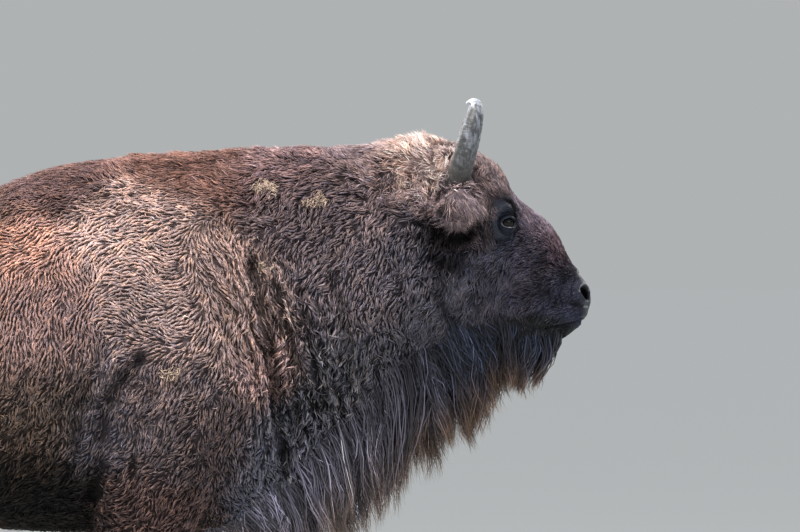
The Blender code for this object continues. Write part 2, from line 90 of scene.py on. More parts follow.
HORN_LINE = (  # centre and radius from root to tip
    ((0.906, 0.085, 1.488), 0.0290),
    ((0.914, 0.135, 1.515), 0.0282),
    ((0.925, 0.176, 1.556), 0.0270),
    ((0.938, 0.202, 1.600), 0.0254),
    ((0.949, 0.211, 1.642), 0.0226),
    ((0.957, 0.202, 1.676), 0.0176),
    ((0.957, 0.184, 1.696), 0.0120),
    ((0.948, 0.166, 1.702), 0.0068),
    ((0.938, 0.153, 1.700), 0.0022),
)
NOSTRIL = (1.2140, 0.0425, 1.2500)
NOSTRIL_AXIS = (0.52, 0.85, 0.06)
NOSTRIL_SIZE = (0.0160, 0.0190, 0.026)  # half width, half height, depth
NOSE_CREASES = {  # (x, z) lines on the sides of the nose
    "wing": ((1.180, 1.288), (1.165, 1.272), (1.159, 1.252), (1.166, 1.232)),
    "behind_nostril": ((1.202, 1.284), (1.190, 1.268), (1.187, 1.246)),
    "lip": ((1.222, 1.222), (1.205, 1.219), (1.185, 1.226)),
}
MOUTH = ((1.206, 1.187), (1.185, 1.181), (1.155, 1.175), (1.120, 1.170))  # (x, z) from front to corner
CORE = ((-0.95, 1.12), (0.45, 1.15), (0.92, 1.34))  # (x, z) inside trunk, neck and head
FAR = 9.0  # more than any distance on the animal

# ---- the coat ----


class Hair(NamedTuple):
    """One kind of hair."""

    length: float
    width: float
    lift: float  # how high a lock arches over the skin
    stand: float  # 0 where its tip lies back down, 1 where it stands out
    swing: float  # sideways
    depth: float  # from the outline down to the skin
    spacing: float  # between neighbouring roots
    crimp: float  # how strictly it gathers in ridges
    wave: float  # from ridge to ridge
    mess: float  # wandering of its direction, in radians
    clump: float  # how far tips lean together


WOOL = Hair(0.029, 0.0044, 0.0103, 0.08, 0.0012, 0.0125, 0.0064, 0.70, 0.0086, 0.34, 0.10)
CURLS = Hair(0.032, 0.0038, 0.0150, 0.25, 0.0030, 0.0145, 0.0066, 0.55, 0.0120, 0.38, 0.60)
MATTED = Hair(0.026, 0.0038, 0.0110, 0.30, 0.0025, 0.0125, 0.0066, 0.45, 0.0090, 0.70, 0.40)
REAR_WOOL = Hair(0.034, 0.0042, 0.0090, 0.15, 0.0015, 0.0115, 0.0080, 0.62, 0.0100, 0.25, 0.15)
SLEEK = Hair(0.036, 0.0036, 0.0075, 0.30, 0.0025, 0.0105, 0.0094, 0.10, 0.0090, 0.30, 0.25)
SHORT = Hair(0.017, 0.0022, 0.0040, 0.40, 0.0012, 0.0060, 0.0074, 0.00, 0.0090, 0.30, 0.10)
FUZZ = Hair(0.040, 0.0018, 0.0220, 0.70, 0.0040, 0.0210, 0.0047, 0.00, 0.0090, 0.50, 0.30)
CAP = Hair(0.046, 0.0014, 0.0360, 0.85, 0.0080, 0.0300, 0.0040, 0.00, 0.0090, 0.90, 0.50)
FOREHEAD = Hair(0.036, 0.0014, 0.0200, 0.75, 0.0050, 0.0120, 0.0033, 0.00, 0.0090, 0.60, 0.45)
BRIDGE = Hair(0.026, 0.0014, 0.0150, 0.70, 0.0015, 0.0080, 0.0030, 0.00, 0.0090, 0.30, 0.30)
FACE = Hair(0.018, 0.0013, 0.0060, 0.50, 0.0012, 0.0055, 0.0029, 0.00, 0.0090, 0.35, 0.25)
CHEEK = Hair(0.034, 0.0017, 0.0120, 0.55, 0.0040, 0.0110, 0.0036, 0.00, 0.0090, 0.60, 0.50)
TINY = Hair(0.008, 0.0011, 0.0016, 0.45, 0.0006, 0.0022, 0.0031, 0.00, 0.0090, 0.30, 0.00)
EAR_HAIR = Hair(0.060, 0.0016, 0.0130, 0.60, 0.0060, 0.0100, 0.0042, 0.00, 0.0090, 0.60, 0.45)
WISP = Hair(0.020, 0.0018, 0.0150, 0.55, 0.0035, 0.0000, 0.0200, 0.00, 0.0090, 0.90, 0.00)
SHED = Hair(0.020, 0.0030, 0.0190, 0.35, 0.0080, 0.0000, 0.0032, 0.00, 0.0090, 2.50, 0.00)


class Coat(NamedTuple):
    """How the hair is around one place of the body."""

    place: tuple
    reach: float  # how far its say goes
    hair: Hair
    lie: tuple  # which way it lies: forward, outward, up


COATS = {
    "tail_head": Coat((-1.10, 0.00, 1.38), 0.12, SLEEK, (-0.8, 0.1, -0.5)),
    "tail_side": Coat((-1.19, 0.03, 1.15), 0.10, SHORT, (0.0, 0.0, -1.0)),
    "rump": Coat((-1.05, 0.15, 1.30), 0.16, SLEEK, (-0.7, 0.2, -0.6)),
    "buttock": Coat((-1.12, 0.12, 1.05), 0.16, SLEEK, (-0.3, 0.1, -0.9)),
    "croup": Coat((-0.90, 0.00, 1.42), 0.15, FUZZ, (-1.0, 0.0, -0.05)),
    "loin": Coat((-0.65, 0.00, 1.42), 0.14, FUZZ, (-1.0, 0.0, -0.05)),
    "back": Coat((-0.35, 0.00, 1.47), 0.14, FUZZ, (-1.0, 0.0, 0.0)),
    "hip": Coat((-0.85, 0.25, 1.22), 0.16, SLEEK, (-0.8, 0.1, -0.5)),
    "thigh": Coat((-0.93, 0.24, 0.98), 0.16, SLEEK, (-0.4, 0.1, -0.9)),
    "inner_thigh": Coat((-0.90, 0.05, 0.85), 0.14, SHORT, (-0.2, 0.0, -0.9)),
    "gaskin": Coat((-0.98, 0.16, 0.70), 0.12, SHORT, (-0.1, 0.0, -1.0)),
    "hock": Coat((-1.04, 0.15, 0.50), 0.12, SHORT, (-0.05, 0.0, -1.0)),
    "hind_cannon": Coat((-1.03, 0.15, 0.28), 0.12, SHORT, (0.0, 0.0, -1.0)),
    "hind_foot": Coat((-1.00, 0.15, 0.10), 0.07, SHORT, (0.1, 0.0, -1.0)),
    "flank": Coat((-0.60, 0.28, 1.15), 0.18, REAR_WOOL, (-0.7, 0.0, -0.7)),
    "ribs": Coat((-0.35, 0.30, 1.15), 0.18, REAR_WOOL, (-0.35, 0.0, -0.9)),
    "belly": Coat((-0.40, 0.10, 0.74), 0.22, SLEEK, (-0.8, 0.0, -0.4)),
    "fore_belly": Coat((-0.05, 0.12, 0.72), 0.18, MATTED, (-0.6, 0.0, -0.7)),
    "fore_ribs": Coat((-0.10, 0.30, 1.22), 0.10, WOOL, (-0.25, 0.0, -1.0)),
    "fore_ribs_front": Coat((0.03, 0.30, 1.28), 0.07, WOOL, (0.05, 0.0, -1.0)),
    "fore_ribs_top": Coat((-0.06, 0.22, 1.43), 0.10, WOOL, (-0.9, 0.1, -0.45)),
    "low_ribs": Coat((-0.06, 0.28, 0.95), 0.14, MATTED, (-0.3, 0.0, -0.9)),
    "withers_back": Coat((-0.05, 0.00, 1.55), 0.12, FUZZ, (-1.0, 0.0, 0.1)),
    "withers": Coat((0.20, 0.00, 1.59), 0.12, FUZZ, (-1.0, 0.0, 0.15)),
    "crest": Coat((0.45, 0.00, 1.60), 0.12, FUZZ, (-1.0, 0.0, 0.25)),
    "nape": Coat((0.68, 0.00, 1.60), 0.11, FUZZ, (-0.8, 0.0, 0.5)),
    "shoulder_top": Coat((0.15, 0.22, 1.42), 0.09, WOOL, (-0.95, 0.0, -0.35)),
    "shoulder_blade": Coat((0.18, 0.29, 1.29), 0.09, WOOL, (-1.0, 0.0, 0.10)),
    "shoulder_centre": Coat((0.22, 0.29, 1.18), 0.08, WOOL, (-0.95, 0.0, 0.25)),
    "shoulder": Coat((0.24, 0.29, 1.05), 0.10, MATTED, (-0.5, 0.0, -0.8)),
    "shoulder_slope": Coat((0.36, 0.28, 1.33), 0.07, WOOL, (0.40, 0.0, -0.9)),
    "shoulder_front": Coat((0.41, 0.28, 1.18), 0.08, WOOL, (0.22, 0.0, -1.0)),
    "upper_arm": Coat((0.28, 0.28, 0.93), 0.11, MATTED, (-0.4, 0.1, -0.9)),
    "forearm": Coat((0.18, 0.22, 0.74), 0.11, MATTED, (-0.5, 0.1, -0.9)),
    "knee_top": Coat((0.19, 0.17, 0.56), 0.09, SHORT, (-0.1, 0.0, -1.0)),
    "knee": Coat((0.19, 0.16, 0.43), 0.09, SHORT, (0.0, 0.0, -1.0)),
    "fore_cannon": Coat((0.19, 0.15, 0.25), 0.10, SHORT, (0.0, 0.0, -1.0)),
    "fore_foot": Coat((0.21, 0.15, 0.10), 0.07, SHORT, (0.1, 0.0, -1.0)),
    "armpit": Coat((0.20, 0.08, 0.72), 0.10, SHORT, (-0.2, 0.0, -0.9)),
    "breast": Coat((0.50, 0.12, 0.78), 0.13, CURLS, (0.1, 0.1, -1.0)),
    "chest_side": Coat((0.52, 0.22, 0.95), 0.11, CURLS, (0.05, 0.0, -1.0)),
    "neck_base": Coat((0.54, 0.23, 1.20), 0.11, CURLS, (0.25, 0.0, -1.0)),
    "neck_top": Coat((0.56, 0.17, 1.46), 0.11, CURLS, (-0.6, 0.0, -0.8)),
    "neck": Coat((0.68, 0.20, 1.32), 0.11, CURLS, (-0.5, 0.0, -0.8)),
    "neck_low": Coat((0.68, 0.17, 1.10), 0.11, CURLS, (0.1, 0.0, -1.0)),
    "throat": Coat((0.78, 0.08, 1.05), 0.09, MATTED, (0.3, 0.0, -1.0)),
    "behind_ear": Coat((0.82, 0.17, 1.32), 0.08, CURLS, (-0.3, 0.0, -0.9)),
    "poll_side": Coat((0.82, 0.13, 1.50), 0.07, CAP, (-0.5, 0.3, -0.3)),
    "poll": Coat((0.84, 0.00, 1.62), 0.08, CAP, (-0.6, 0.1, 0.5)),
    "horn_root": Coat((0.90, 0.11, 1.53), 0.045, CAP, (0.1, 0.6, 0.3)),
    "forelock": Coat((0.95, 0.04, 1.56), 0.05, FOREHEAD, (0.3, 0.2, 0.6)),
    "forehead": Coat((0.99, 0.04, 1.52), 0.055, FOREHEAD, (-0.1, 0.3, 0.8)),
    "brow": Coat((1.01, 0.09, 1.48), 0.035, BRIDGE, (-0.5, 0.4, 0.6)),
    "temple": Coat((0.96, 0.14, 1.42), 0.045, CHEEK, (0.3, 0.1, -0.9)),
    "eye_ring": Coat((1.03, 0.125, 1.41), 0.030, TINY, (-0.4, 0.2, -0.6)),
    "bridge": Coat((1.09, 0.03, 1.43), 0.055, BRIDGE, (-0.9, 0.2, 0.3)),
    "nose_top": Coat((1.15, 0.02, 1.35), 0.040, BRIDGE, (-0.9, 0.3, 0.3)),
    "nose_side": Coat((1.10, 0.08, 1.32), 0.055, BRIDGE, (-0.9, 0.2, 0.0)),
    "cheek": Coat((0.99, 0.13, 1.29), 0.065, CHEEK, (-0.7, 0.0, -0.7)),
    "jaw": Coat((0.90, 0.15, 1.22), 0.075, CHEEK, (-0.3, 0.0, -1.0)),
    "jaw_line": Coat((0.98, 0.08, 1.15), 0.060, CHEEK, (0.2, 0.0, -1.0)),
    "muzzle_side": Coat((1.15, 0.06, 1.23), 0.045, FACE, (-0.7, 0.2, -0.7)),
    "muzzle_front": Coat((1.20, 0.05, 1.25), 0.030, TINY, (-0.7, 0.2, -0.5)),
    "nose_wing": Coat((1.182, 0.058, 1.268), 0.026, TINY, (-0.7, 0.2, -0.5)),
    "lip": Coat((1.18, 0.04, 1.18), 0.030, TINY, (-0.6, 0.1, -0.8)),
    "chin": Coat((1.12, 0.03, 1.15), 0.035, FACE, (-0.2, 0.0, -1.0)),
    "ear_root": Coat((0.94, 0.14, 1.49), 0.035, EAR_HAIR, (0.5, 0.5, -0.6)),
    "ear": Coat((0.90, 0.20, 1.49), 0.045, EAR_HAIR, (0.45, 0.5, -0.7)),
    "ear_tip": Coat((0.87, 0.28, 1.48), 0.040, EAR_HAIR, (0.35, 0.4, -0.8)),
}


class Tint(NamedTuple):
    """The colour of skin and hair around one place of the body."""

    place: tuple
    reach: float
    colour: tuple


TINTS = {
    "back": Tint((-0.35, 0.05, 1.46), 0.15, (0.135, 0.084, 0.081)),
    "loin": Tint((-0.75, 0.05, 1.40), 0.15, (0.143, 0.090, 0.077)),
    "rump": Tint((-1.05, 0.18, 1.25), 0.17, (0.189, 0.120, 0.096)),
    "flank_rear": Tint((-0.65, 0.28, 1.15), 0.18, (0.257, 0.162, 0.130)),
    "ribs": Tint((-0.35, 0.30, 1.20), 0.17, (0.371, 0.234, 0.198)),
    "thigh": Tint((-0.95, 0.24, 0.95), 0.16, (0.150, 0.096, 0.081)),
    "gaskin": Tint((-1.00, 0.16, 0.70), 0.13, (0.094, 0.065, 0.057)),
    "hock": Tint((-1.04, 0.15, 0.45), 0.16, (0.062, 0.047, 0.044)),
    "hind_foot": Tint((-1.00, 0.15, 0.12), 0.12, (0.043, 0.035, 0.034)),
    "belly_rear": Tint((-0.45, 0.12, 0.76), 0.20, (0.044, 0.032, 0.029)),
    # dark belly hair, darkened further here as the painted shadow behind the elbow
    "belly": Tint((-0.07, 0.20, 0.78), 0.13, (0.010, 0.009, 0.009)),
    "tail": Tint((-1.20, 0.00, 1.10), 0.10, (0.080, 0.056, 0.048)),
    "flank": Tint((-0.12, 0.28, 1.36), 0.09, (0.600, 0.362, 0.312)),
    "fore_ribs": Tint((-0.09, 0.30, 1.20), 0.12, (0.373, 0.250, 0.251)),
    "low_ribs": Tint((-0.08, 0.30, 0.98), 0.11, (0.119, 0.087, 0.078)),
    "withers_back": Tint((0.00, 0.05, 1.53), 0.09, (0.158, 0.099, 0.103)),
    "withers": Tint((0.30, 0.05, 1.58), 0.11, (0.208, 0.119, 0.109)),
    "crest": Tint((0.55, 0.05, 1.58), 0.10, (0.193, 0.132, 0.149)),
    "nape": Tint((0.70, 0.06, 1.56), 0.08, (0.190, 0.145, 0.165)),
    "poll": Tint((0.82, 0.05, 1.59), 0.070, (0.690, 0.494, 0.468)),
    "forelock": Tint((0.94, 0.04, 1.57), 0.050, (0.235, 0.184, 0.200)),
    "forehead": Tint((0.99, 0.05, 1.52), 0.050, (0.138, 0.105, 0.118)),
    "shoulder_top": Tint((0.18, 0.22, 1.40), 0.10, (0.568, 0.415, 0.403)),
    "shoulder_blade": Tint((0.22, 0.29, 1.24), 0.11, (0.440, 0.318, 0.314)),
    "shoulder_front": Tint((0.40, 0.27, 1.22), 0.09, (0.583, 0.421, 0.416)),
    "shoulder": Tint((0.20, 0.29, 1.04), 0.10, (0.260, 0.205, 0.230)),
    "fold": Tint((0.47, 0.26, 1.10), 0.06, (0.740, 0.490, 0.480)),
    "upper_arm": Tint((0.32, 0.28, 0.93), 0.10, (0.149, 0.113, 0.123)),
    "crease": Tint((0.08, 0.26, 0.92), 0.06, (0.179, 0.150, 0.182)),
    "forearm": Tint((0.20, 0.22, 0.75), 0.09, (0.109, 0.071, 0.072)),
    "knee": Tint((0.19, 0.16, 0.50), 0.13, (0.060, 0.043, 0.040)),
    "fore_foot": Tint((0.21, 0.15, 0.18), 0.16, (0.043, 0.035, 0.034)),
    "neck_top": Tint((0.62, 0.18, 1.44), 0.10, (0.195, 0.149, 0.171)),
    "neck": Tint((0.66, 0.20, 1.28), 0.10, (0.181, 0.147, 0.173)),
    "neck_low": Tint((0.66, 0.18, 1.08), 0.10, (0.159, 0.152, 0.185)),
    "chest": Tint((0.54, 0.20, 0.86), 0.10, (0.212, 0.216, 0.286)),
    "throat": Tint((0.80, 0.12, 1.10), 0.08, (0.074, 0.070, 0.095)),
    "behind_ear": Tint((0.80, 0.17, 1.32), 0.06, (0.151, 0.139, 0.184)),
    "ear": Tint((0.92, 0.19, 1.49), 0.050, (0.425, 0.324, 0.358)),
    # painted shade: darker here, standing for the shade in the ear's opening
    "ear_tip": Tint((0.868, 0.27, 1.475), 0.034, (0.080, 0.064, 0.070)),
    # painted shadow: this tint and the next are near black under the ear, where shade falls
    "hollow": Tint((0.880, 0.15, 1.362), 0.046, (0.006, 0.004, 0.007)),
    "hollow_back": Tint((0.862, 0.17, 1.372), 0.030, (0.005, 0.005, 0.008)),
    "temple": Tint((0.96, 0.14, 1.42), 0.035, (0.070, 0.056, 0.066)),
    "eye_ring": Tint((1.03, 0.12, 1.41), 0.032, (0.023, 0.028, 0.045)),
    "bridge": Tint((1.10, 0.03, 1.42), 0.050, (0.155, 0.125, 0.169)),
    "nose_top": Tint((1.15, 0.02, 1.34), 0.040, (0.085, 0.060, 0.080)),
    "nose_side": Tint((1.09, 0.08, 1.31), 0.050, (0.063, 0.057, 0.088)),
    "cheek": Tint((0.98, 0.13, 1.28), 0.060, (0.061, 0.060, 0.088)),
    "jaw": Tint((0.88, 0.15, 1.22), 0.060, (0.117, 0.116, 0.156)),
    "muzzle": Tint((1.17, 0.05, 1.25), 0.040, (0.039, 0.043, 0.075)),
    "nose_wing": Tint((1.185, 0.055, 1.268), 0.026, (0.036, 0.039, 0.064)),
    "chin": Tint((1.13, 0.03, 1.16), 0.035, (0.020, 0.024, 0.026)),
    "jaw_line": Tint((1.00, 0.07, 1.15), 0.050, (0.026, 0.025, 0.034)),
}


class Fold(NamedTuple):
    """A crease down the side of the body: its line as (x, z) points, how wide and how deep it is."""

    line: tuple
    width: float
    depth: float


FOLDS = {
    "elbow": Fold(((0.17, 1.10), (0.13, 1.05), (0.09, 0.98), (0.08, 0.90), (0.056, 0.78)), 0.017, 0.018),
    "shoulder": Fold(((0.435, 1.33), (0.470, 1.19), (0.498, 1.00), (0.512, 0.83)), 0.013, 0.026),
    "neck": Fold(((0.490, 1.28), (0.530, 1.10), (0.545, 0.90)), 0.011, 0.022),
    "neck_second": Fold(((0.545, 1.26), (0.585, 1.10), (0.600, 0.98)), 0.010, 0.017),
    "neck_third": Fold(((0.620, 1.30), (0.655, 1.18), (0.665, 1.04)), 0.010, 0.013),
    "elbow_rear": Fold(((0.075, 1.10), (0.040, 1.00), (0.020, 0.88)), 0.012, 0.012),
    "elbow_front": Fold(((0.200, 1.02), (0.165, 0.92), (0.150, 0.82)), 0.011, 0.011),
    "jaw": Fold(((0.865, 1.34), (0.870, 1.24), (0.905, 1.17)), 0.012, 0.010),
    "ear_hollow": Fold(((0.880, 1.390), (0.905, 1.372), (0.930, 1.385)), 0.024, 0.026),
    "flank": Fold(((-0.66, 1.10), (-0.72, 0.98), (-0.78, 0.86)), 0.030, 0.020),
}
PLEATS = ((0.545, 1.07), (0.120, 0.25))  # the neck's heavy upright pleats: centre and reach in (x, z)
PLEAT_WAVE = 0.031  # from pleat to pleat
PLEAT_DEPTH = 0.033
PLEAT_CRACK = 0.150  # half the width of a crack, in pleats
SHADE_DEPTH = 0.022  # creases of this depth get the least light
SHADE = 0.84  # how much light they lose


# ---- user's settings ----


class BisonCoatSettings(bpy.types.PropertyGroup):
    """How thick, long and dark the coat is."""

    fullness: bpy.props.FloatProperty(
        name="Fullness", description="Locks of wool for each one planned", default=1.0, min=0.1, max=2.0
    )
    length: bpy.props.FloatProperty(
        name="Length", description="Length of the locks against plan", default=1.0, min=0.3, max=2.0
    )
    brightness: bpy.props.FloatProperty(
        name="Brightness", description="Brightness of the coat's markings", default=1.0, min=0.2, max=3.0
    )


class BisonEyeSettings(bpy.types.PropertyGroup):
    """The colours of the eyes."""

    iris: bpy.props.FloatVectorProperty(
        name="Iris",
        description="Colour of the iris",
        subtype="COLOR",
        size=3,
        default=(0.005, 0.0035, 0.003),
    )
    white: bpy.props.FloatVectorProperty(
        name="White",
        description="Colour round the iris",
        subtype="COLOR",
        size=3,
        default=(0.46, 0.43, 0.45),
    )


class BisonHornSettings(bpy.types.PropertyGroup):
    """The horns' colours and growth rings."""

    pale: bpy.props.FloatVectorProperty(
        name="Upper horn",
        description="Colour of the worn shaft",
        subtype="COLOR",
        size=3,
        default=(0.26, 0.28, 0.33),
    )
    dark: bpy.props.FloatVectorProperty(
        name="Horn base",
        description="Colour at the root",
        subtype="COLOR",
        size=3,
        default=(0.085, 0.083, 0.080),
    )
    ring_height: bpy.props.FloatProperty(
        name="Ring height", description="Relief of the rings", default=0.0011, unit="LENGTH", precision=4
    )


class BisonStageSettings(bpy.types.PropertyGroup):
    """Camera and light."""

    distance: bpy.props.FloatProperty(
        name="Distance", description="From camera to animal", default=16.0, unit="LENGTH"
    )
    view_width: bpy.props.FloatProperty(
        name="View width", description="Width of the view at the animal", default=1.896, unit="LENGTH"
    )
    elevation: bpy.props.FloatProperty(
        name="Elevation", description="Camera's height angle", default=math.radians(1.0), subtype="ANGLE"
    )
    light: bpy.props.FloatProperty(
        name="Light", description="Strength of all lamps", default=1.0, min=0.0, max=5.0
    )


# ---- noise and fields, on arrays of points ----


def cell_key(cell):
    """One whole number for each whole-numbered cell."""
    return cell[:, 0] * 73856093 ^ cell[:, 1] * 19349663 ^ cell[:, 2] * 83492791


def lattice(cell, seed):
    """A repeatable value in 0..1 for each whole-numbered cell."""
    mixed = cell_key(cell) ^ seed * 40503
    mixed = (mixed ^ (mixed >> 13)) * 1274126177 & 0xFFFFFFFF
    return ((mixed ^ (mixed >> 16)) & 0xFFFF) / 65535.0


def noise(points, lumps, seed=0):
    """Smooth noise in 0..1 with that many lumps to the metre."""
    at = points * lumps + 31.7 + seed
    cell = np.floor(at).astype(np.int64)
    part = at - cell
    part = part * part * (3 - 2 * part)
    found = 0.0
    for corner in np.ndindex(2, 2, 2):
        share = np.prod(np.where(corner, part, 1 - part), axis=1)
        found = found + share * lattice(cell + np.array(corner), seed)
    return found


def unit(vectors):
    """The vectors at length one."""
    return vectors / np.maximum(np.linalg.norm(vectors, axis=1, keepdims=True), 1e-12)


def smooth_step(values, low, high):
    """0 below low, 1 above high and an S curve between."""
    t = np.clip((values - low) / (high - low), 0, 1)
    return t * t * (3 - 2 * t)


def bell(values, middle, width):
    """1 at middle, falling smoothly to nothing on both sides."""
    return np.exp(-(((values - middle) / width) ** 2))


def folded(points):
    """The points with y as distance from the mid-plane."""
    return points * (1, 0, 1) + np.abs(points) * (0, 1, 0)


def gaps_to_line(points, line):
    """For each stretch of a line, the way from its nearest spot to each point."""
    for start, end in zip(np.array(line), np.array(line[1:])):
        along = end - start
        t = np.clip((points - start) @ along / (along @ along), 0, 1)
        yield points - start - t[:, None] * along


def to_polyline(points, line):
    """Distance of the points to a line through places."""
    nearest = np.full(len(points), FAR)
    for gap in gaps_to_line(points, line):
        nearest = np.minimum(nearest, np.linalg.norm(gap, axis=1))
    return nearest


def shares(points, zones):
    """How much each zone says at each point; each row sums to one."""
    at = folded(points)
    weights = np.empty((len(points), len(zones)))
    for column, zone in enumerate(zones):
        gap = np.linalg.norm(at - np.array(zone.place), axis=1) / zone.reach
        weights[:, column] = np.exp(-1.3 * gap * gap) + 1e-4 / (1 + gap**6)
    return weights / weights.sum(axis=1, keepdims=True)


def pleats(points):
    """Cracks between the pleats of matted wool that hang down the neck."""
    (centre_x, centre_z), (reach_x, reach_z) = PLEATS
    high = points[:, 2] - centre_z
    slant = 0.26 * high + 0.80 * np.maximum(high, 0) ** 2
    gap_x, gap_z = (points[:, 0] + slant - centre_x) / reach_x, high / reach_z
    here = np.exp(-(gap_x**2 + gap_z**2))
    tall = folded(points) * (1, 1, 0.30)
    bent = 0.026 * (noise(tall, 13, 51) - 0.5) + 0.009 * (noise(points, 38, 52) - 0.5)
    turn = (points[:, 0] + slant + bent) / PLEAT_WAVE
    crack = bell(turn, np.round(turn), PLEAT_CRACK)
    return PLEAT_DEPTH * np.minimum(1, 1.5 * here) * crack * smooth_step(noise(tall, 20, 53), 0.08, 0.30)


def fold_depth(points):
    """How far the creases take the surface in."""
    side = smooth_step(np.abs(points[:, 1]), 0.04, 0.12)
    deep = np.zeros(len(points))
    flat = points[:, (0, 2)]
    for fold in FOLDS.values():
        deep = np.maximum(deep, fold.depth * bell(to_polyline(flat, fold.line), 0, fold.width))
    deep = deep * (0.35 + 1.15 * noise(points, 24, 54))
    return np.maximum(deep, pleats(points)) * side


def eye_patch(points):
    """1 in the hairless skin round the eye, fading to 0 at its rim."""
    at = folded(points)
    (centre_x, centre_z), (half_x, half_z) = EYE_PATCH
    away = np.hypot((at[:, 0] - centre_x) / half_x, (at[:, 2] - centre_z) / half_z)
    away = away + 0.35 * (noise(at, 60, 41) - 0.5)
    return (1 - smooth_step(away, 0.62, 1.05)) * smooth_step(at[:, 1], 0.05, 0.07)


def bareness(points):
    """1 where the skin has no hair: nose pad, nostrils and round the eyes."""
    at = folded(points)
    pad_line = 1.199 + 0.10 * (1.30 - at[:, 2]) - 0.25 * np.maximum(0, 1.20 - at[:, 2])
    pad = smooth_step(at[:, 0] - pad_line, -0.010, 0.006) * smooth_step(at[:, 2], 1.186, 1.196)
    nostril = 1 - smooth_step(np.linalg.norm(at - np.array(NOSTRIL), axis=1), 0.020, 0.029)
    return np.clip(np.maximum(np.maximum(pad, nostril), eye_patch(points)), 0, 1)


def in_shade(points):
    """How much light gets into the creases, 1 outside them."""
    return 1 - SHADE * np.clip(fold_depth(points) / SHADE_DEPTH, 0, 1)


def markings(points):
    """The colour of skin and hair roots at the points, with painted shade darkening the creases and
    pleats.
    """
    colours = shares(points, TINTS.values()) @ np.array([tint.colour for tint in TINTS.values()])
    patches = 0.72 + 0.56 * noise(points, 9, 3)
    patches = patches * (0.78 + 0.44 * noise(points, 28, 4))
    on_face = smooth_step(points[:, 0], 0.88, 0.98)
    patches = patches * (1 + on_face * (1.5 * noise(folded(points) * (1, 1, 0.7), 48, 6) - 0.75))
    warm = (noise(points, 6, 5) - 0.5)[:, None] * np.array((0.10, 0.0, -0.08))
    # painted shade: the colour is darkened where the creases and pleats fold in
    return np.clip(colours * (patches * in_shade(points))[:, None] * (1 + warm), 0, 1)


class Mesh3(NamedTuple):
    """The arrays of a triangulated surface."""

    points: np.ndarray
    normals: np.ndarray
    triangles: np.ndarray


def arrays_of(mesh):
    """Points, vertex normals and triangles of a mesh."""
    mesh.calc_loop_triangles()
    points = np.empty(len(mesh.vertices) * 3)
    mesh.vertices.foreach_get("co", points)
    normals = np.empty(len(mesh.vertices) * 3, dtype=np.float32)
    mesh.vertex_normals.foreach_get("vector", normals)
    triangles = np.empty(len(mesh.loop_triangles) * 3, dtype=np.int64)
    mesh.loop_triangles.foreach_get("vertices", triangles)
    return Mesh3(points.reshape(-1, 3), normals.reshape(-1, 3).astype(float), triangles.reshape(-1, 3))


# ---- objects ----


def new_object(name, mesh, *finishes):
    """An object of the mesh, at the origin, in these finishes."""
    obj = bpy.data.objects.new(name, mesh)
    bpy.context.scene.collection.objects.link(obj)
    for finish in finishes:
        mesh.materials.append(finish)
    return obj


def mesh_from(bm, name):
    """A mesh of the bmesh, which is freed."""
    mesh = bpy.data.meshes.new(name)
    bm.to_mesh(mesh)
    bm.free()
    return mesh


def merged_solid(name):
    """A bmesh of one of the frame's solids, with its doubles merged."""
    bm = bmesh.new()
    bm.from_mesh(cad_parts[name].data)
    bmesh.ops.remove_doubles(bm, verts=bm.verts, dist=1e-5)
    bmesh.ops.recalc_face_normals(bm, faces=bm.faces)
    return bm


def evaluated_copy(obj, name):
    """A mesh of obj with its modifiers applied."""
    graph = bpy.context.evaluated_depsgraph_get()
    mesh = bpy.data.meshes.new_from_object(obj.evaluated_get(graph))
    mesh.name = name
    return mesh


def set_points(mesh, points):
    """Moves the vertices to these points."""
    mesh.vertices.foreach_set("co", np.ascontiguousarray(points, dtype=np.float32).ravel())
    mesh.update()


def add_colours(mesh, name, colours):
    """A colour for each vertex."""
    layer = mesh.color_attributes.new(name, "FLOAT_COLOR", "POINT")
    full = np.ones((len(colours), 4), dtype=np.float32)
    full[:, :3] = colours
    layer.data.foreach_set("color", full.ravel())


def add_values(mesh, name, values):
    """A number for each vertex."""
    layer = mesh.attributes.new(name, "FLOAT", "POINT")
    layer.data.foreach_set("value", np.ascontiguousarray(values, dtype=np.float32))


# ---- materials ----


class Socket:
    """An output of a material's node, with arithmetic that adds Math nodes."""

    def __init__(self, tree, output):
        self.tree = tree
        self.output = output

    def maths(self, operation, *values):
        node = self.tree.nodes.new("ShaderNodeMath")
        node.operation = operation
        for slot, value in zip(node.inputs, values):
            if isinstance(value, Socket):
                self.tree.links.new(value.output, slot)
            else:
                slot.default_value = value
        return Socket(self.tree, node.outputs[0])

    def __add__(self, other):
        return self.maths("ADD", self, other)

    __radd__ = __add__

    def __sub__(self, other):
        return self.maths("SUBTRACT", self, other)

    def __rsub__(self, other):
        return self.maths("SUBTRACT", other, self)

    def __mul__(self, other):
        return self.maths("MULTIPLY", self, other)

    __rmul__ = __mul__

    def __truediv__(self, other):
        return self.maths("DIVIDE", self, other)

    def __pow__(self, other):
        return self.maths("POWER", self, other)


